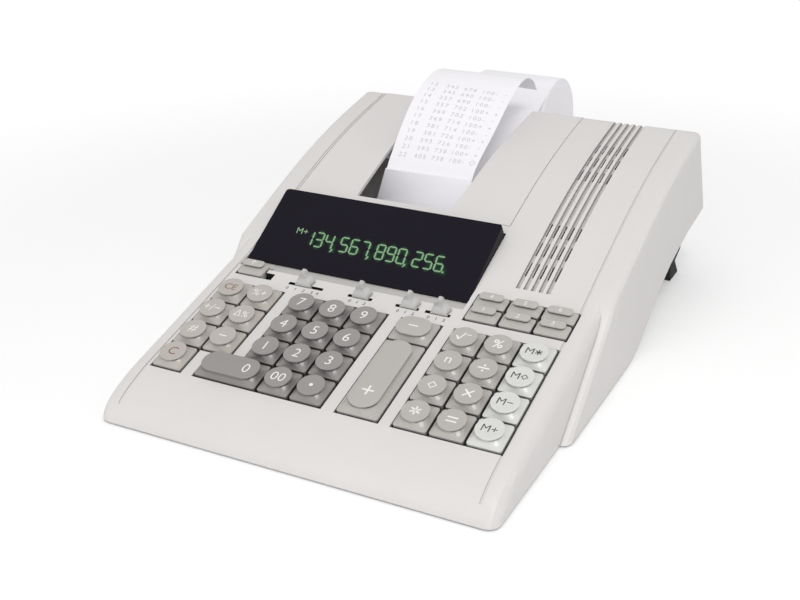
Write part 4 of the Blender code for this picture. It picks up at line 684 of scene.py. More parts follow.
def build_light(settings):
    world = bpy.data.worlds.new("studio")
    world.use_nodes = True
    tree = world.node_tree
    tree.nodes.clear()
    path = add_node(tree, "ShaderNodeLightPath")
    seen = add_node(tree, "ShaderNodeMath", {"operation": "MAXIMUM"},
                    {0: path.outputs["Is Camera Ray"], 1: path.outputs["Is Transmission Ray"]})
    level = add_node(tree, "ShaderNodeMapRange", {3: SKY_LEVEL, 4: 1.0}, {0: seen.outputs[0]})
    sky = add_node(tree, "ShaderNodeBackground", {"Color": (1.0, 1.0, 1.0, 1.0)},
                   {"Strength": level.outputs[0]})
    add_node(tree, "ShaderNodeOutputWorld", None, {"Surface": sky.outputs[0]})
    bpy.context.scene.world = world
    for name, place, size, share in LAMPS:
        lamp = bpy.data.lights.new(name, "AREA")
        lamp.size = size
        lamp.energy = settings.lamp * share
        holder = bpy.data.objects.new(name, lamp)
        bpy.context.scene.collection.objects.link(holder)
        aim = Vector(LAMP_AIM) - Vector(place)
        holder.rotation_euler = aim.to_track_quat("-Z", "Y").to_euler()
        holder.location = place
    bpy.context.scene.view_settings.view_transform = "Standard"


# The floor turns plain white for the camera between these distances from its middle
FLOOR_NEAR = 0.26
FLOOR_FAR = 0.60
FLOOR_LIFT = 0.17


def build_floor(settings):
    """A pale floor that keeps the shadow near the machine and fades to white round it."""
    deselect()
    bpy.ops.mesh.primitive_grid_add(x_subdivisions=4, y_subdivisions=4, size=12.0)
    floor = bpy.context.object
    floor.name = "floor"
    material, tree, place = new_material("pale_matt_floor")
    soft = add_node(tree, "ShaderNodeTexNoise", {"Scale": 3.0}, {"Vector": place})
    skin = add_node(tree, "ShaderNodeMix",
                    {"data_type": "RGBA", 6: toned(settings.floor, 0.99), 7: tuple(settings.floor)},
                    {0: soft.outputs["Fac"]})
    path = add_node(tree, "ShaderNodeLightPath")
    lift = add_node(tree, "ShaderNodeMath", {"operation": "MULTIPLY", 1: FLOOR_LIFT},
                    {0: path.outputs["Is Camera Ray"]})
    shader = add_node(tree, "ShaderNodeBsdfPrincipled",
                      {"Roughness": 0.9, "Specular IOR Level": 0.0, "Emission Color": (1.0, 1.0, 1.0, 1.0)},
                      {"Base Color": skin.outputs[2], "Emission Strength": lift.outputs[0]})
    white = add_node(tree, "ShaderNodeEmission", {"Color": (1.0, 1.0, 1.0, 1.0), "Strength": 1.0})
    away = add_node(tree, "ShaderNodeVectorMath", {"operation": "LENGTH"}, {0: place})
    beyond = add_node(tree, "ShaderNodeMapRange",
                      {"interpolation_type": "SMOOTHSTEP", 1: FLOOR_NEAR, 2: FLOOR_FAR},
                      {0: away.outputs["Value"]})
    hidden = add_node(tree, "ShaderNodeMath", {"operation": "MULTIPLY"},
                      {0: beyond.outputs[0], 1: path.outputs["Is Camera Ray"]})
    both = add_node(tree, "ShaderNodeMixShader", None,
                    {0: hidden.outputs[0], 1: shader.outputs["BSDF"], 2: white.outputs[0]})
    add_node(tree, "ShaderNodeOutputMaterial", None, {"Surface": both.outputs[0]})
    floor.data.materials.append(material)


class CALCULATOR_OT_housing(bpy.types.Operator):
    """Builds the upper and lower housing, the lid, the paper holder and the feet"""
    bl_idname = "calculator.housing"
    bl_label = "Build housing"

    def execute(self, context):
        settings = context.scene.calculator_housing
        ivory = moulded_plastic("abs_spark_textured_ivory", settings.ivory)
        base = moulded_plastic("abs_spark_textured_base", settings.base, roughness=0.5)
        rubber = nitrile_rubber("nitrile_rubber_feet", settings.rubber)
        upper = refined("upper_shell", settings.edge, crisp=at_vent)
        finished(upper, "upper_housing", ivory, "housing", "housing_ivory", "upper_shell")
        # Painted shade: the walls inside the slots are made black
        line_slots(upper, nitrile_rubber("black_painted_slot_shade", paint(SLOT_SHADE_BLACK)))
        clear_vents(upper, moulded_plastic("abs_spark_textured_unshaded", settings.ivory, shade_share=1.0))
        finished(refined("base_shell", settings.edge), "lower_housing", base, "housing", "base_ivory",
                 "base_shell")
        finished(refined("printer_cover", settings.edge), "printer_lid", ivory, "printer_cover",
                 "housing_ivory", "printer_cover")
        finished(refined("paper_holder", settings.edge), "roll_holder", base, "housing", "base_ivory",
                 "paper_holder")
        # Painted shade: grey strips on the channel's floor, which lies in shade
        shade = moulded_plastic("abs_spark_textured_shade_strip", paint(CHANNEL_SHADE_GREY), roughness=0.5)
        low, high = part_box("display_window")
        spans = ((low.x, SHADE_STRIP_SPLIT_X[0]), (SHADE_STRIP_SPLIT_X[1], high.x))
        for number, (span, front_s) in enumerate(zip(spans, SHADE_STRIP_FRONT_S), 1):
            shade_strip = channel_liner(*span, front_s)
            finished(shade_strip, f"channel_liner_{number}", shade, "housing", "base_ivory")
        for side in ("left", "right"):
            node = "rear_foot_" + side
            finished(refined(node, settings.edge * FOOT_ROUNDER), "foot_" + side, rubber, "housing",
                     "black_rubber", node)
        return {"FINISHED"}


# The feet's edges are this much rounder than the housing's
FOOT_ROUNDER = 1.5

# Painted shade, black on the walls inside the switches' slots and beside the feed key: ends across and
# along the deck
FEED_SIDE_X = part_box("feed_key")[1].x
SLOT_SPANS = (
    ((-0.0650, 0.0390), (0.08225, 0.08475)),
    ((FEED_SIDE_X + 0.0001, FEED_SIDE_X + 0.0064), (0.0820, 0.0881)),
)
SLOT_SHADE_TOP = -0.0004


def line_slots(shell, slot_shade):
    """Paints the walls inside the slots black, as painted shade."""
    shell.data.materials.append(slot_shade)
    to_deck = DECK.inverted()
    for face in shell.data.polygons:
        middle = to_deck @ face.center
        upright = abs((to_deck.to_3x3() @ face.normal).z) < 0.5
        for (x0, x1), (s0, s1) in SLOT_SPANS:
            if upright and x0 < middle.x < x1 and s0 < middle.y < s1 and middle.z < SLOT_SHADE_TOP:
                face.material_index = 1


# Long holes in the vents: the last vent, the vents' pitch, half the holes' width, and the part of
# the vents that has holes
VENT_LAST_X = 0.0791
VENT_PITCH = 0.00425
VENT_COUNT = 5
VENT_HALF = 0.0006
VENT_SPAN_Y = (-0.055, 0.075)
VENT_LOOSE = 0.00015


def near_hole(place):
    """Distance to the middle line of the nearest vent, or endless where the vents have no holes."""
    if not VENT_SPAN_Y[0] < place.y < VENT_SPAN_Y[1]:
        return math.inf
    return min(abs(place.x - VENT_LAST_X + step * VENT_PITCH) for step in range(VENT_COUNT))


def at_vent(start, end):
    """Tells whether an edge belongs to a hole in a vent."""
    return max(near_hole(start), near_hole(end)) < VENT_HALF + VENT_LOOSE


def clear_vents(shell, plastic):
    """Gives one wall of each hole a material without the painted shade, because light falls straight on it.
    """
    shell.data.materials.append(plastic)
    for face in shell.data.polygons:
        if face.normal.x > 0.9 and near_hole(face.center) < VENT_HALF + VENT_LOOSE:
            face.material_index = 2


# Painted shade: grey strips on the floor of the channel in front of the pane, which lies in shade,
# in the deck frame: the one behind the feed key is shorter than the other, and they part beside the key
SHADE_STRIP_SPLIT_X = (FEED_SIDE_X + 0.0005, FEED_SIDE_X + 0.0006)
SHADE_STRIP_FRONT_S = (0.0946, 0.0912)
SHADE_STRIP_REAR_S = 0.0991
SHADE_STRIP_Z = (-0.00318, -0.00270)
SHADE_STRIP_EDGE = 0.00018


def channel_liner(start_x, end_x, front_s):
    """A thin strip with its upper edges eased."""
    deselect()
    bpy.ops.mesh.primitive_cube_add(size=1.0)
    strip = bpy.context.object
    bpy.ops.object.mode_set(mode="EDIT")
    size = (end_x - start_x, SHADE_STRIP_REAR_S - front_s, SHADE_STRIP_Z[1] - SHADE_STRIP_Z[0])
    bpy.ops.transform.resize(value=size, center_override=(0.0, 0.0, 0.0))
    choose("EDGE", lambda a, b: min(a.z, b.z) > 0.0)
    bpy.ops.mesh.bevel(offset=SHADE_STRIP_EDGE, segments=3, affect="EDGES")
    deselect()
    middle = ((start_x + end_x) / 2, (front_s + SHADE_STRIP_REAR_S) / 2, sum(SHADE_STRIP_Z) / 2)
    strip.data.transform(DECK @ Matrix.Translation(middle))
    smooth(strip)
    return strip


# Key plastic: a fine gloss, with painted shade that turns almost black where walls stand close. The number
# keys' painted shade reaches further, into their deep gaps and over their flanks
KEY_SKIN = {"roughness": 0.20, "grit": 0.4, "depth": 0.00001, "shade_share": 0.06}
DEEP_PAINTED_SHADE = {"unshaded": 0.95, "reach": 0.0065}
SHALLOW_PAINTED_SHADE = {"unshaded": 0.84, "reach": 0.0042}


class CALCULATOR_OT_keys(bpy.types.Operator):
    """Builds all the key caps with their legends"""
    bl_idname = "calculator.keys"
    bl_label = "Build keys"

    def execute(self, context):
        settings = context.scene.calculator_keys
        plastics = {}
        for slot, name, colour, shading in (
                ("number_key_grey", "pbt_satin_number_grey", settings.number, DEEP_PAINTED_SHADE),
                ("right_key_grey", "pbt_satin_sign_grey", settings.right, SHALLOW_PAINTED_SHADE),
                ("left_key_grey", "pbt_satin_left_grey", settings.left, SHALLOW_PAINTED_SHADE),
                ("memory_key_grey", "pbt_satin_memory_grey", settings.memory, SHALLOW_PAINTED_SHADE),
                ("small_key_grey", "pbt_satin_small_grey", settings.small, SHALLOW_PAINTED_SHADE)):
            plastics[slot] = moulded_plastic(name, colour, **KEY_SKIN, **shading)
        inks = {
            "light": matt_ink("legend_white", settings.legend),
            "red": matt_ink("legend_red", settings.legend_red),
            "dark": matt_ink("legend_dark", settings.legend_dark),
        }
        patterns = {}
        for node in [name for name in NODES if "key" in name and name != "key_board"]:
            build_key(node, settings, plastics, inks, patterns)
        for pattern in patterns.values():
            bpy.data.objects.remove(pattern)
        return {"FINISHED"}


def button_size(node, width):
    """Width and depth of the button on a key of this width."""
    if node == "key_0":
        return width - ZERO_MARGIN, ZERO_DEPTH
    if node == "key_plus":
        return PLUS_BUTTON
    if node == "key_minus":
        return MINUS_BUTTON
    return SMALL_BUTTON if node in SMALL_KEYS else ROUND_BUTTON


def key_slot(node):
    """Material slot of the group that a key belongs to."""
    for slot, group in (("small_key_grey", SMALL_KEYS), ("number_key_grey", NUMBER_KEYS),
                        ("left_key_grey", LEFT_KEYS), ("memory_key_grey", MEMORY_KEYS)):
        if node in group:
            return slot
    return "right_key_grey"


def build_key(node, settings, plastics, inks, patterns):
    """Sets a cap of the right kind over a key's solid, with its sign."""
    x, s, width, depth = deck_span(node)
    top = button_size(node, width)
    small = node in SMALL_KEYS
    kind = (round(width, 5), round(depth, 5), top)
    if kind not in patterns:
        dish = CAP_DISH if top[0] == top[1] else 0.0
        shift = FUNCTION_SHIFT if small else 0.0
        drop = FUNCTION_DROP if small else 0.0
        patterns[kind] = key_cap(width, depth, *top, shift, drop, dish)
    place = DECK @ Matrix.Translation((x, s, 0.0))
    cap = copied(patterns[kind], node, place)
    slot = key_slot(node)
    cap.data.materials.append(plastics[slot])
    joined(cap, [key_legend(node, top, place, settings, inks)])
    finished(cap, node.replace("key", "cap"), None, node, slot, node)


def sign(words, height):
    """Lettering round the origin. An asterisk is made of three bars, and the part after a stroke is
    set smaller to the right of the first."""
    if words == "*":
        return joined(*star(height))
    if "|" not in words:
        bold = SIGN_BOLD if words in "◇%" else LEGEND_BOLD
        return lettering(words, height, Matrix.Identity(4), bold=bold)
    first, second = words.split("|")
    share = SECOND_STAR_SHARE if second == "*" else SECOND_SHARE
    parts = [sign(first, height), sign(second, height * share)]
    widths = []
    for part in parts:
        xs = [vertex.co.x for vertex in part.data.vertices]
        widths.append(max(xs) - min(xs))
    half = (sum(widths) + height * SIGN_GAP) / 2
    parts[0].data.transform(Matrix.Translation((widths[0] / 2 - half, 0.0, 0.0)))
    parts[1].data.transform(Matrix.Translation((half - widths[1] / 2, 0.0, 0.0)))
    return joined(parts[0], parts[1:])


def star(height):
    """Three crossing bars, each a minus sign: the first, and a list of the others."""
    bars = []
    for turn in (90.0, 30.0, -30.0):
        bar = lettering("−", height * STAR_SHARE, Matrix.Identity(4), bold=LEGEND_BOLD)
        bar.data.transform(Matrix.Rotation(math.radians(turn), 4, "Z"))
        bars.append(bar)
    return bars[0], bars[1:]


def key_legend(node, top, place, settings, inks):
    """The sign on a key's button. On a dished button it follows the hollow."""
    level = CROWN_HEIGHT + LEGEND_PROUD - LEGEND_DEEP / 2
    end = (top[0] - top[1]) / 2
    middle = (0.0, 0.0, level)
    if node == "key_0":
        words, size, ink = "0", 1.0, "light"
        middle = (end, 0.0, level)
    elif node == "key_plus":
        words, size, ink = "+", PLUS_SIZE, "light"
        middle = (0.0, end + PLUS_BACK, level)
    elif node in SMALL_KEYS:
        words, size, ink = node[-1], FUNCTION_SIZE, "light"
        if node == "feed_key":
            words, size = "↑", FEED_SIZE
        middle = (0.0, FUNCTION_SHIFT, level - FUNCTION_DROP)
    else:
        words, size, ink = LEGENDS[node]
    legend = sign(words, settings.legend_height * size)
    legend.data.transform(Matrix.Translation(middle))
    if top[0] == top[1]:
        for vertex in legend.data.vertices:
            share = min(vertex.co.xy.length / (top[0] / 2), 1.0)
            vertex.co.z -= CAP_DISH * (1.0 - share * share)
    legend.data.transform(place)
    legend.data.materials.append(inks[ink])
    return legend


class CALCULATOR_OT_switches(bpy.types.Operator):
    """Builds the four switch knobs and the marks beside them"""
    bl_idname = "calculator.switches"
    bl_label = "Build switches"

    def execute(self, context):
        settings = context.scene.calculator_keys
        plastic = moulded_plastic("abs_satin_knob_grey", settings.knob, roughness=0.38, grit=0.4,
                                  depth=0.00001)
        pattern = knob_shape()
        inverse = DECK.inverted()
        marks = []
        for number in range(1, 5):
            node = f"slide_switch_{number}"
            xs = [(inverse @ vertex.co).x for vertex in NODES[node].data.vertices]
            middle = (min(xs) + max(xs)) / 2
            knob = copied(pattern, node, DECK @ Matrix.Translation((middle, KNOB_MIDDLE_S, 0.0)))
            finished(knob, f"knob_{number}", plastic, node, "knob_grey", node)
            for figure, offset in enumerate(MARK_OFFSETS[number - 1]):
                spot = DECK @ Matrix.Translation((middle + offset, MARKS_S, MARKS_PROUD - MARKS_THICK / 2))
                marks.append(lettering(str(figure), MARKS_HEIGHT, spot, thickness=MARKS_THICK))
        row = joined(marks[0], marks[1:])
        ink = matt_ink("printed_marks_dark", settings.legend_dark)
        finished(row, "switch_marks", ink, "housing", "head_black")
        bpy.data.objects.remove(pattern)
        return {"FINISHED"}


# Switch knob: a wedge that is high at the rear, with a finger that rises from it. Each section has
# its height, width, depth and how far back it lies
KNOB_MIDDLE_S = 0.08575
KNOB_WIDTH = 0.0104
KNOB_DEPTH = 0.0060
KNOB_CORNER = 0.0007
KNOB_FRONT_SHARE = 0.78
KNOB_BASE = 0.0003
KNOB_SECTIONS = (
    (0.0010, 0.0105, 0.0058, 0.0001), (0.0020, 0.0101, 0.0050, 0.0005), (0.0028, 0.0092, 0.0041, 0.0009),
    (0.0034, 0.0070, 0.0037, 0.0011), (0.0040, 0.0048, 0.0035, 0.0012), (0.0050, 0.0037, 0.0034, 0.0012),
    (0.0070, 0.0031, 0.0032, 0.0012), (0.0081, 0.0024, 0.0026, 0.0012), (0.0087, 0.0013, 0.0017, 0.0012),
)
KNOB_STEM_S = 0.0835
KNOB_STEM_SIZE = (0.0098, 0.0016, 0.0076)
KNOB_STEM_OVERLAP = 0.0002

# Plain figures printed in front of the slots, as offsets from each knob's middle
MARKS_S = 0.0795
MARKS_HEIGHT = 0.0021
MARKS_THICK = 0.00016
MARKS_PROUD = 0.00004
SHORT_SLOT = (-0.0045, 0.0, 0.0045)
MARK_OFFSETS = ((-0.0080, -0.0028, 0.0024, 0.0076, 0.0112), SHORT_SLOT, SHORT_SLOT, SHORT_SLOT)


def knob_shape():
    """Models a knob over the origin, with its stem."""
    knob = blank()
    foot = (0.0, 0.0, KNOB_BASE)
    bpy.ops.mesh.primitive_plane_add(size=1.0, location=foot)
    bpy.ops.transform.resize(value=(KNOB_WIDTH, KNOB_DEPTH, 1.0), center_override=foot)
    choose("VERT", lambda place: place.y < 0.0)
    bpy.ops.transform.resize(value=(KNOB_FRONT_SHARE, 1.0, 1.0), center_override=foot)
    bpy.ops.mesh.select_all(action="SELECT")
    bpy.ops.mesh.bevel(offset=KNOB_CORNER, segments=4, affect="VERTICES")
    height, width, depth, back = KNOB_BASE, KNOB_WIDTH, KNOB_DEPTH, 0.0
    for new_height, new_width, new_depth, new_back in KNOB_SECTIONS:
        pull_faces(new_height - height, new_back - back)
        bpy.ops.transform.resize(value=(new_width / width, new_depth / depth, 1.0),
                                 center_override=(0.0, new_back, new_height))
        height, width, depth, back = new_height, new_width, new_depth, new_back
    middle = (0.0, KNOB_STEM_S - KNOB_MIDDLE_S, KNOB_BASE - KNOB_STEM_SIZE[2] / 2 + KNOB_STEM_OVERLAP)
    bpy.ops.mesh.primitive_cube_add(size=1.0, location=middle)
    bpy.ops.transform.resize(value=KNOB_STEM_SIZE, center_override=middle)
    bpy.ops.mesh.select_all(action="SELECT")
    bpy.ops.mesh.normals_make_consistent(inside=False)
    smooth(knob, 50.0)
    return knob


class CALCULATOR_OT_display(bpy.types.Operator):
    """Builds the tinted pane and the display's glowing digits"""
    bl_idname = "calculator.display"
    bl_label = "Build display"

    def execute(self, context):
        settings = context.scene.calculator_display
        pane = refined("display_window", 0.0)
        lowest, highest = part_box("display_window")
        to_window = WINDOW.inverted()
        far = max((to_window @ vertex.co).y for vertex in pane.data.vertices)
        edit(pane)
        choose("EDGE", lambda a, b: abs((to_window @ a).y - far) < 10 * NEAR
               and abs((to_window @ b).y - far) < 10 * NEAR and abs(a.x - b.x) < NEAR
               and min(a.x - lowest.x, highest.x - a.x) < 10 * NEAR)
        bpy.ops.mesh.bevel(offset=PANE_CORNER, segments=6, affect="EDGES")
        deselect()
        smooth(pane, 35.0)
        finished(pane, "display_pane", tinted_acrylic("tinted_acrylic_pane", settings.pane), "housing",
                 "window_black", "display_window")
        pane.data.materials.append(nitrile_rubber("ground_acrylic_edge", settings.pane))
        outward = WINDOW.to_3x3().col[2]
        for face in pane.data.polygons:
            if face.normal.dot(outward) < 0.98:
                face.material_index = 1
        # The halo and the haze are painted glow: wider bars round the digits that stand in for their light
        # spreading
        for name, colour, share, lift in (("digits", settings.glow, BAR_SHARE, GLOW_LIFT),
                                          ("halo", settings.halo, HALO_SHARE, GLOW_LIFT / 2),
                                          ("haze", settings.haze, HAZE_SHARE, GLOW_LIFT / 4)):
            glow = glowing_phosphor("fluorescent_phosphor_" + name, colour, settings.strength)
            digits = build_digits(settings.digit, share, lift)
            finished(digits, "display_" + name, glow, "housing", "tube_glass")
        return {"FINISHED"}


# The pane's rear corners are this round
PANE_CORNER = 0.0020

# Seven bar digits: which bars of top, upper right, lower right, bottom, lower left, upper left, middle
BARS = {
    "0": "1111110", "1": "0110000", "2": "1101101", "3": "1111001", "4": "0110011",
    "5": "1011011", "6": "1011111", "7": "1110000", "8": "1111111", "9": "1111011",
}

# The reading in the window's frame: where it starts, how it drops to the right, and its spacing
READING = "134,567,890,256."
READING_X = -0.0704
READING_S = 0.0163
READING_DROP = 0.0115
READING_PITCH = 0.0067
COMMA_SPACE = 0.0032
COMMA_GAP = 0.0010
READING_SLANT = -0.11

# The bars' width, and that of the dim light round them, as shares of a digit's height. A comma's
# tail is measured in half dots: how far it leans, where its foot ends, and its drop
BAR_SHARE = 0.082
HALO_SHARE = 0.21
HAZE_SHARE = 0.42
DIGIT_WIDTH_SHARE = 0.48
DOT_SHARE = 0.6
COMMA_LEAN = 2.4
COMMA_FOOT = 1.2
COMMA_DROP = 4.0
BAR_THICK = 0.00004
GLOW_LIFT = 0.00006
MARK = "M+"
MARK_PLACE = (-0.0748, 0.0250)
MARK_SHARE = 0.42


def bar_outlines(height, share):
    """Outlines of the seven bars of a digit one height tall, each a slim hexagon."""
    width = height * DIGIT_WIDTH_SHARE
    half = height * share / 2
    gap = height * BAR_SHARE * 0.16
    corners = {"tl": (0.0, height), "tr": (width, height), "ml": (0.0, height / 2),
               "mr": (width, height / 2), "bl": (0.0, 0.0), "br": (width, 0.0)}
    outlines = []
    for ends in ("tl tr", "tr mr", "mr br", "bl br", "ml bl", "tl ml", "ml mr"):
        start, end = (Vector(corners[name]) for name in ends.split())
        run = (end - start).normalized()
        side = Vector((-run.y, run.x)) * half
        tip = run * min(half, height / 8)
        near, far = start + run * gap, end - run * gap
        outlines.append((near, near + tip + side, far - tip + side,
                         far, far - tip - side, near + tip - side))
    return outlines


def build_digits(height, share, lift):
    """The reading as thin glowing bars in the window's plane."""
    shape = bmesh.new()
    outlines = bar_outlines(height, share)
    dot = height * BAR_SHARE * DOT_SHARE
    spread = height * (share - BAR_SHARE) / 2

    def add_outline(points, x):
        base = READING_S - (x - READING_X) * READING_DROP
        corners = [shape.verts.new((x + px + py * READING_SLANT, base + py, lift)) for px, py in points]
        shape.faces.new(corners)

    x = READING_X
    for sign in READING:
        if sign in BARS:
            for lit, outline in zip(BARS[sign], outlines):
                if lit == "1":
                    add_outline(outline, x)
            x += READING_PITCH
            continue
        at = x - READING_PITCH + height * DIGIT_WIDTH_SHARE + COMMA_GAP
        reach = dot + spread
        add_outline(((-reach, -reach), (reach, -reach), (reach, reach), (-reach, reach)), at)
        if sign == ",":
            foot = -dot * COMMA_DROP
            add_outline(((-dot * COMMA_LEAN - spread, foot), (-dot * COMMA_FOOT, foot),
                         (reach, -dot - spread), (-dot, -dot - spread)), at)
            x += COMMA_SPACE
    mesh = bpy.data.meshes.new("display_digits")
    shape.to_mesh(mesh)
    shape.free()
    digits = bpy.data.objects.new("display_digits", mesh)
    bpy.context.scene.collection.objects.link(digits)
    apply_modifier(digits, "SOLIDIFY", thickness=BAR_THICK, offset=-1.0)
    digits.data.transform(WINDOW)
    if share == BAR_SHARE:
        slant = Matrix.Identity(4)
        slant[0][1] = READING_SLANT
        place = WINDOW @ Matrix.Translation((*MARK_PLACE, lift - BAR_THICK / 2)) @ slant
        joined(digits, [lettering(MARK, height * MARK_SHARE, place, thickness=BAR_THICK)])
    return digits


# Rounding of the printer's pieces
CHASSIS_EDGE = 0.0003
PLATEN_EDGE = 0.0004
CARRIAGE_EDGE = 0.0005
GUARD_EDGE = 0.0002


class CALCULATOR_OT_printer(bpy.types.Operator):
    """Builds the printer under the lid and the clear tear guard"""
    bl_idname = "calculator.printer"
    bl_label = "Build printer"

    def execute(self, context):
        steel = rolled_steel("zinc_plated_sheet_steel", paint(SHEET_ZINC))
        rubber = nitrile_rubber("nitrile_rubber_platen", paint(PLATEN_BLACK))
        black = moulded_plastic("glass_filled_nylon_black", paint(CARRIAGE_BLACK), roughness=0.5)
        guard = clear_styrene("clear_polystyrene_guard", paint(GUARD_CLEAR))
        finished(refined("printer_frame", CHASSIS_EDGE), "printer_chassis", steel, "housing",
                 "frame_steel", "printer_frame")
        finished(refined("platen_roller", PLATEN_EDGE), "platen", rubber, "platen_roller",
                 "black_rubber", "platen_roller")
        finished(refined("print_head", CARRIAGE_EDGE), "print_carriage", black, "print_head",
                 "head_black", "print_head")
        shield = refined("tear_bar", GUARD_EDGE)
        edit(shield)
        bpy.ops.mesh.select_all(action="SELECT")
        bpy.ops.mesh.bisect(plane_co=(STRIP_LOW_X, 0.0, 0.0), plane_no=(1.0, 0.0, 0.0), clear_inner=True,
                            use_fill=True)
        finished(shield, "tear_guard", guard, "housing", "clear_guard", "tear_bar")
        return {"FINISHED"}


# Paper strip: the two side lines of the solid's outer run, depth from the key line and height
STRIP_LEFT = (
    (0.1901, 0.0789), (0.1968, 0.0866), (0.2041, 0.0945), (0.2117, 0.1016), (0.2199, 0.1083),
    (0.2297, 0.1147), (0.2405, 0.1196), (0.2530, 0.1226), (0.2650, 0.1228), (0.2760, 0.1196),
    (0.2840, 0.1134),
)
STRIP_RIGHT = (
    (0.1901, 0.0789), (0.1978, 0.0856), (0.2072, 0.0910), (0.2180, 0.0966), (0.2285, 0.1025),
    (0.2395, 0.1090), (0.2510, 0.1148), (0.2640, 0.1196), (0.2755, 0.1204), (0.2860, 0.1160),
    (0.2930, 0.1085),
)
ROLL_RADIUS = 0.0350
ROLL_PLACE = (0.3350, 0.0710)
PLATEN_PLACE = (0.1800, 0.0497)
PLATEN_PATH = 0.00905
ROLL_PATH = 0.03555
EXIT_ANGLE = math.radians(54.0)
STRIP_LOW_X = -0.05705
STRIP_WIDTH = 0.0570
WRAP_STEPS = 24
RUN_STEPS = 12
CURVE_STEPS = 16
SHEET_THICK = 0.00016
SHEET_STEPS = 120
SHEET_COLUMNS = 24


def smooth_line(points, count):
    """Resamples a line of points at even steps along a curve that passes through all of them."""
    points = [Vector(point) for point in points]
    ends = [points[0] * 2 - points[1]] + points + [points[-1] * 2 - points[-2]]
    dense = []
    for index in range(1, len(ends) - 2):
        a, b, c, d = ends[index - 1:index + 3]
        for step in range(CURVE_STEPS):
            t = step / CURVE_STEPS
            dense.append(0.5 * ((2 * b) + (c - a) * t + (2 * a - 5 * b + 4 * c - d) * t * t
                                + (3 * b - a - 3 * c + d) * t ** 3))
    dense.append(points[-1])
    reach = [0.0]
    for before, after in zip(dense[:-1], dense[1:]):
        reach.append(reach[-1] + (after - before).length)
    line = []
    place = 0
    for step in range(count + 1):
        goal = reach[-1] * step / count
        while place < len(reach) - 2 and reach[place + 1] < goal:
            place += 1
        share = (goal - reach[place]) / max(reach[place + 1] - reach[place], 1e-9)
        line.append(dense[place].lerp(dense[place + 1], min(share, 1.0)))
    return line


def feed_line():
    """Side view of the paper from the roll, round under the platen, to where it leaves."""
    run = Vector(ROLL_PLACE) - Vector(PLATEN_PLACE)
    slope = math.atan2(run.y, run.x) + math.asin((PLATEN_PATH + ROLL_PATH) / run.length)
    line = [Vector(ROLL_PLACE) + ROLL_PATH * Vector((-math.sin(slope), math.cos(slope)))]
    first = slope - math.pi / 2
    total = first - (EXIT_ANGLE + math.pi / 2 - 2 * math.pi)
    arc = []
    for step in range(WRAP_STEPS + 1):
        angle = first - total * step / WRAP_STEPS
        arc.append(Vector(PLATEN_PLACE) + PLATEN_PATH * Vector((math.cos(angle), math.sin(angle))))
    for step in range(1, RUN_STEPS):
        line.append(line[0].lerp(arc[0], step / RUN_STEPS))
    return line + arc


def sheet_point(lines, across, along, lift=0.0):
    """A point of the strip: across and along run from 0 to 1, and lift moves it off the printed side."""
    count = len(lines[0]) - 1
    place = min(int(along * count), count - 1)
    share = along * count - place
    ends = [line[place].lerp(line[place + 1], share) for line in lines]
    runs = [(line[place + 1] - line[place]).normalized() for line in lines]
    middle = ends[0].lerp(ends[1], across)
    run = runs[0].lerp(runs[1], across).normalized()
    normal = Vector((-run.y, run.x))
    point = middle + normal * lift
    return Vector((STRIP_LOW_X + STRIP_WIDTH * across, point.x + DATUM_Y, point.y))


class CALCULATOR_OT_paper(bpy.types.Operator):
    """Builds the paper roll, the strip and its faint print"""
    bl_idname = "calculator.paper"
    bl_label = "Build paper"

    def execute(self, context):
        settings = context.scene.calculator_paper
        paper = roll_paper("roll_paper_white", settings.paper)
        ends = roll_paper("roll_paper_wound_edges", settings.paper, rings=True)
        lines = strip_lines()
        sheet = build_sheet(lines)
        sheet.data.materials.append(paper)
        words = build_print(lines, settings)
        words.data.materials.append(matt_ink("ribbon_ink_faint", settings.ink, 0.4))
        joined(sheet, [words])
        finished(sheet, "tally_strip", None, "housing", "paper_white", "paper_strip")
        roll = build_roll()
        finished(roll, "tally_roll", ends, "paper_roll", "paper_white", "paper_roll")
        return {"FINISHED"}


def strip_lines():
    """Side views of the strip's left and right edges, from the roll to the curl's end."""
    feed = feed_line()
    curls = []
    for side in (STRIP_LEFT, STRIP_RIGHT):
        curls.append(feed + smooth_line([feed[-1]] + [Vector(point) for point in side], SHEET_STEPS)[1:])
    return curls


def build_sheet(lines):
    """The strip as a thin sheet between its two edges."""
    count = len(lines[0]) - 1
    deselect()
    bpy.ops.mesh.primitive_grid_add(x_subdivisions=SHEET_COLUMNS, y_subdivisions=count, size=1.0)
    sheet = bpy.context.object
    for vertex in sheet.data.vertices:
        vertex.co = sheet_point(lines, vertex.co.x + 0.5, vertex.co.y + 0.5)
    apply_modifier(sheet, "SOLIDIFY", thickness=SHEET_THICK, offset=0.0)
    smooth(sheet, 60.0)
    return sheet


# Rows of the print: plain figures in four groups, with a sign column at the right edge
ROWS = (
    "12 345 678 100- -", "13 345 690 100- -", "14 357 690 100- -", "15 357 702 100+ +", "16 369 702 100- -",
    "17 369 714 100+ +", "18 381 714 100- -", "19 381 726 100+ +", "20 393 726 100- -", "21 393 738 100+ +",
    "22 405 738 100- ◇",
)
GROUP_MIDDLES = (0.0075, 0.0190, 0.0306, 0.0433, 0.0532)
ROW_PITCH = 0.0058
ROW_HEIGHT = 0.0030
FIRST_ROW = 0.0080
FIGURE_SPACING = 1.35
PRINT_LIFT = 0.00003
PRINT_THICK = 0.00004


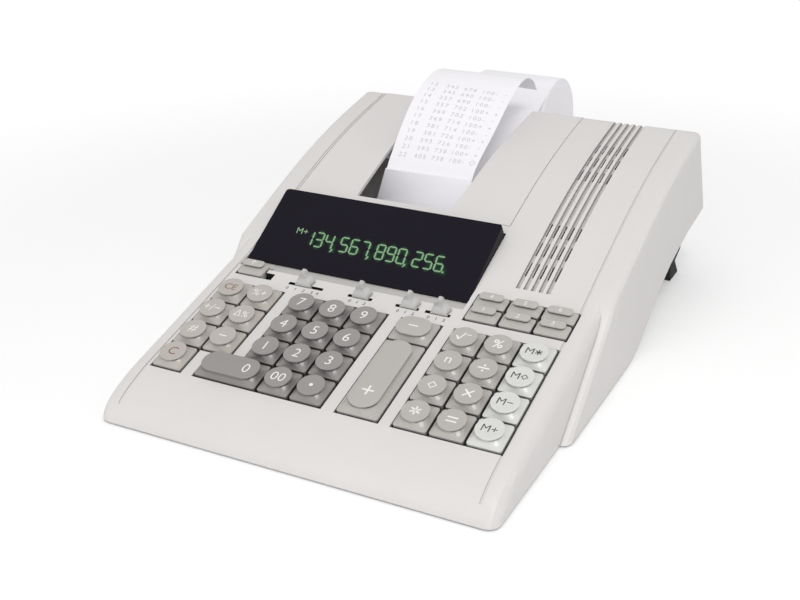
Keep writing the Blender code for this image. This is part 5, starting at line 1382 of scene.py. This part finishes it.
def build_print(lines, settings):
    """The rows as thin figures that follow the paper's curve."""
    count = len(lines[0]) - 1
    reach = [0.0]
    for index in range(count):
        runs = [(line[index + 1] - line[index]).length for line in lines]
        reach.append(reach[-1] + sum(runs) / len(runs))
    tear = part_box("tear_bar")[1].z
    start = next(index for index in range(count - SHEET_STEPS, count) if lines[0][index].y > tear)
    pieces = []
    for row in range(settings.rows):
        base = reach[start] + FIRST_ROW + ROW_PITCH * row
        for words, middle in zip(reversed(ROWS[-1 - row % len(ROWS)].split()), reversed(GROUP_MIDDLES)):
            piece = lettering(words, ROW_HEIGHT, Matrix.Identity(4), thickness=PRINT_THICK,
                              spacing=FIGURE_SPACING)
            for vertex in piece.data.vertices:
                along = base + vertex.co.y
                place = next(index for index in range(count) if reach[index + 1] >= along)
                share = (along - reach[place]) / (reach[place + 1] - reach[place])
                across = (middle + vertex.co.x) / STRIP_WIDTH
                lift = SHEET_THICK / 2 + vertex.co.z + PRINT_LIFT
                vertex.co = sheet_point(lines, across, (place + share) / count, lift)
            pieces.append(piece)
    return joined(pieces[0], pieces[1:])


# The roll: its facets, rim and rounding, the width of each band of turns, and how the bands step
ROLL_FACETS = 120
ROLL_RIM = 0.0006
ROLL_EDGE = 0.0005
BAND_WIDTH = 0.0042
BAND_STEPS = (-0.00006, 0.00012, -0.00008, 0.00006, -0.0001, 0.00006)
BORE_REACH = 0.0105


def build_roll():
    """A wound roll: a ring of paper with rounded edges and slightly uneven ends."""
    low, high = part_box("paper_roll")
    middle = (low + high) / 2
    width = high.x - low.x
    deselect()
    bpy.ops.mesh.primitive_circle_add(vertices=ROLL_FACETS, radius=ROLL_RADIUS, fill_type="NGON")
    roll = bpy.context.object
    bpy.ops.object.mode_set(mode="EDIT")
    bpy.ops.mesh.select_all(action="SELECT")
    pull_faces(width)
    for level in (width, 0.0):
        choose("FACE", lambda place, normal: abs(place.z - level) < NEAR)
        bpy.ops.mesh.inset(thickness=ROLL_RIM, depth=0.0)
        for depth in BAND_STEPS:
            bpy.ops.mesh.inset(thickness=BAND_WIDTH, depth=depth)
        choose("FACE", lambda place, normal: abs(abs(normal.z) - 1.0) < 10 * NEAR
               and place.xy.length < 10 * NEAR and abs(place.z - level) < ROLL_RIM)
        bpy.ops.mesh.delete(type="FACE")
    choose("EDGE", lambda a, b: max(a.xy.length, b.xy.length) < BORE_REACH and abs(a.z - b.z) < NEAR)
    bpy.ops.mesh.bridge_edge_loops()
    choose("EDGE", lambda a, b: abs(a.xy.length - ROLL_RADIUS) < NEAR
           and abs(b.xy.length - ROLL_RADIUS) < NEAR and abs(a.z - b.z) < NEAR)
    bpy.ops.mesh.bevel(offset=ROLL_EDGE, segments=3, affect="EDGES")
    bpy.ops.mesh.select_all(action="SELECT")
    bpy.ops.mesh.normals_make_consistent(inside=False)
    deselect()
    turn = Matrix.Translation((low.x, middle.y, middle.z)) @ Matrix.Rotation(math.pi / 2, 4, "Y")
    roll.data.transform(turn)
    smooth(roll, 32.0)
    return roll


class CALCULATOR_OT_inside(bpy.types.Operator):
    """Gives the pieces inside the housing their materials"""
    bl_idname = "calculator.inside"
    bl_label = "Build inside"

    def execute(self, context):
        board = moulded_plastic("fr4_green_solder_mask", paint(BOARD_GREEN), roughness=0.3, grit=0.8)
        core = rolled_steel("laminated_core_lacquered", paint(CORE_BROWN), stretch=(1.0, 1.0, 12.0))
        tube = moulded_plastic("tube_glass_dark", paint(TUBE_DARK), roughness=0.12, grit=0.8,
                               depth=0.000005)
        for node, material in (("key_board", board), ("transformer", core), ("display_tube", tube)):
            NODES[node].data.materials.clear()
            NODES[node].data.materials.append(material)
        return {"FINISHED"}


class CALCULATOR_PT_panel(bpy.types.Panel):
    """Shows the build buttons and the settings"""
    bl_label = "Printing calculator"
    bl_idname = "CALCULATOR_PT_panel"
    bl_space_type = "VIEW_3D"
    bl_region_type = "UI"
    bl_category = "Calculator"

    def draw(self, context):
        for operator in OPERATORS:
            self.layout.operator(operator.bl_idname)
        for name, group in SETTINGS.items():
            box = self.layout.box()
            for setting in group.__annotations__:
                box.prop(getattr(context.scene, name), setting)


OPERATORS = (
    CALCULATOR_OT_stage, CALCULATOR_OT_housing, CALCULATOR_OT_keys, CALCULATOR_OT_switches,
    CALCULATOR_OT_display, CALCULATOR_OT_printer, CALCULATOR_OT_paper, CALCULATOR_OT_inside,
)
CLASSES = tuple(SETTINGS.values()) + OPERATORS + (CALCULATOR_PT_panel,)


def register():
    for item in CLASSES:
        bpy.utils.register_class(item)
    for name, group in SETTINGS.items():
        setattr(bpy.types.Scene, name, bpy.props.PointerProperty(type=group))


def unregister():
    for name in SETTINGS:
        delattr(bpy.types.Scene, name)
    for item in reversed(CLASSES):
        bpy.utils.unregister_class(item)


def main():
    """Builds everything in order."""
    register()
    bpy.ops.calculator.stage()
    bpy.ops.calculator.housing()
    bpy.ops.calculator.keys()
    bpy.ops.calculator.switches()
    bpy.ops.calculator.display()
    bpy.ops.calculator.printer()
    bpy.ops.calculator.paper()
    bpy.ops.calculator.inside()
    deselect()
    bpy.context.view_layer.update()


if __name__ == "__main__":
    main()
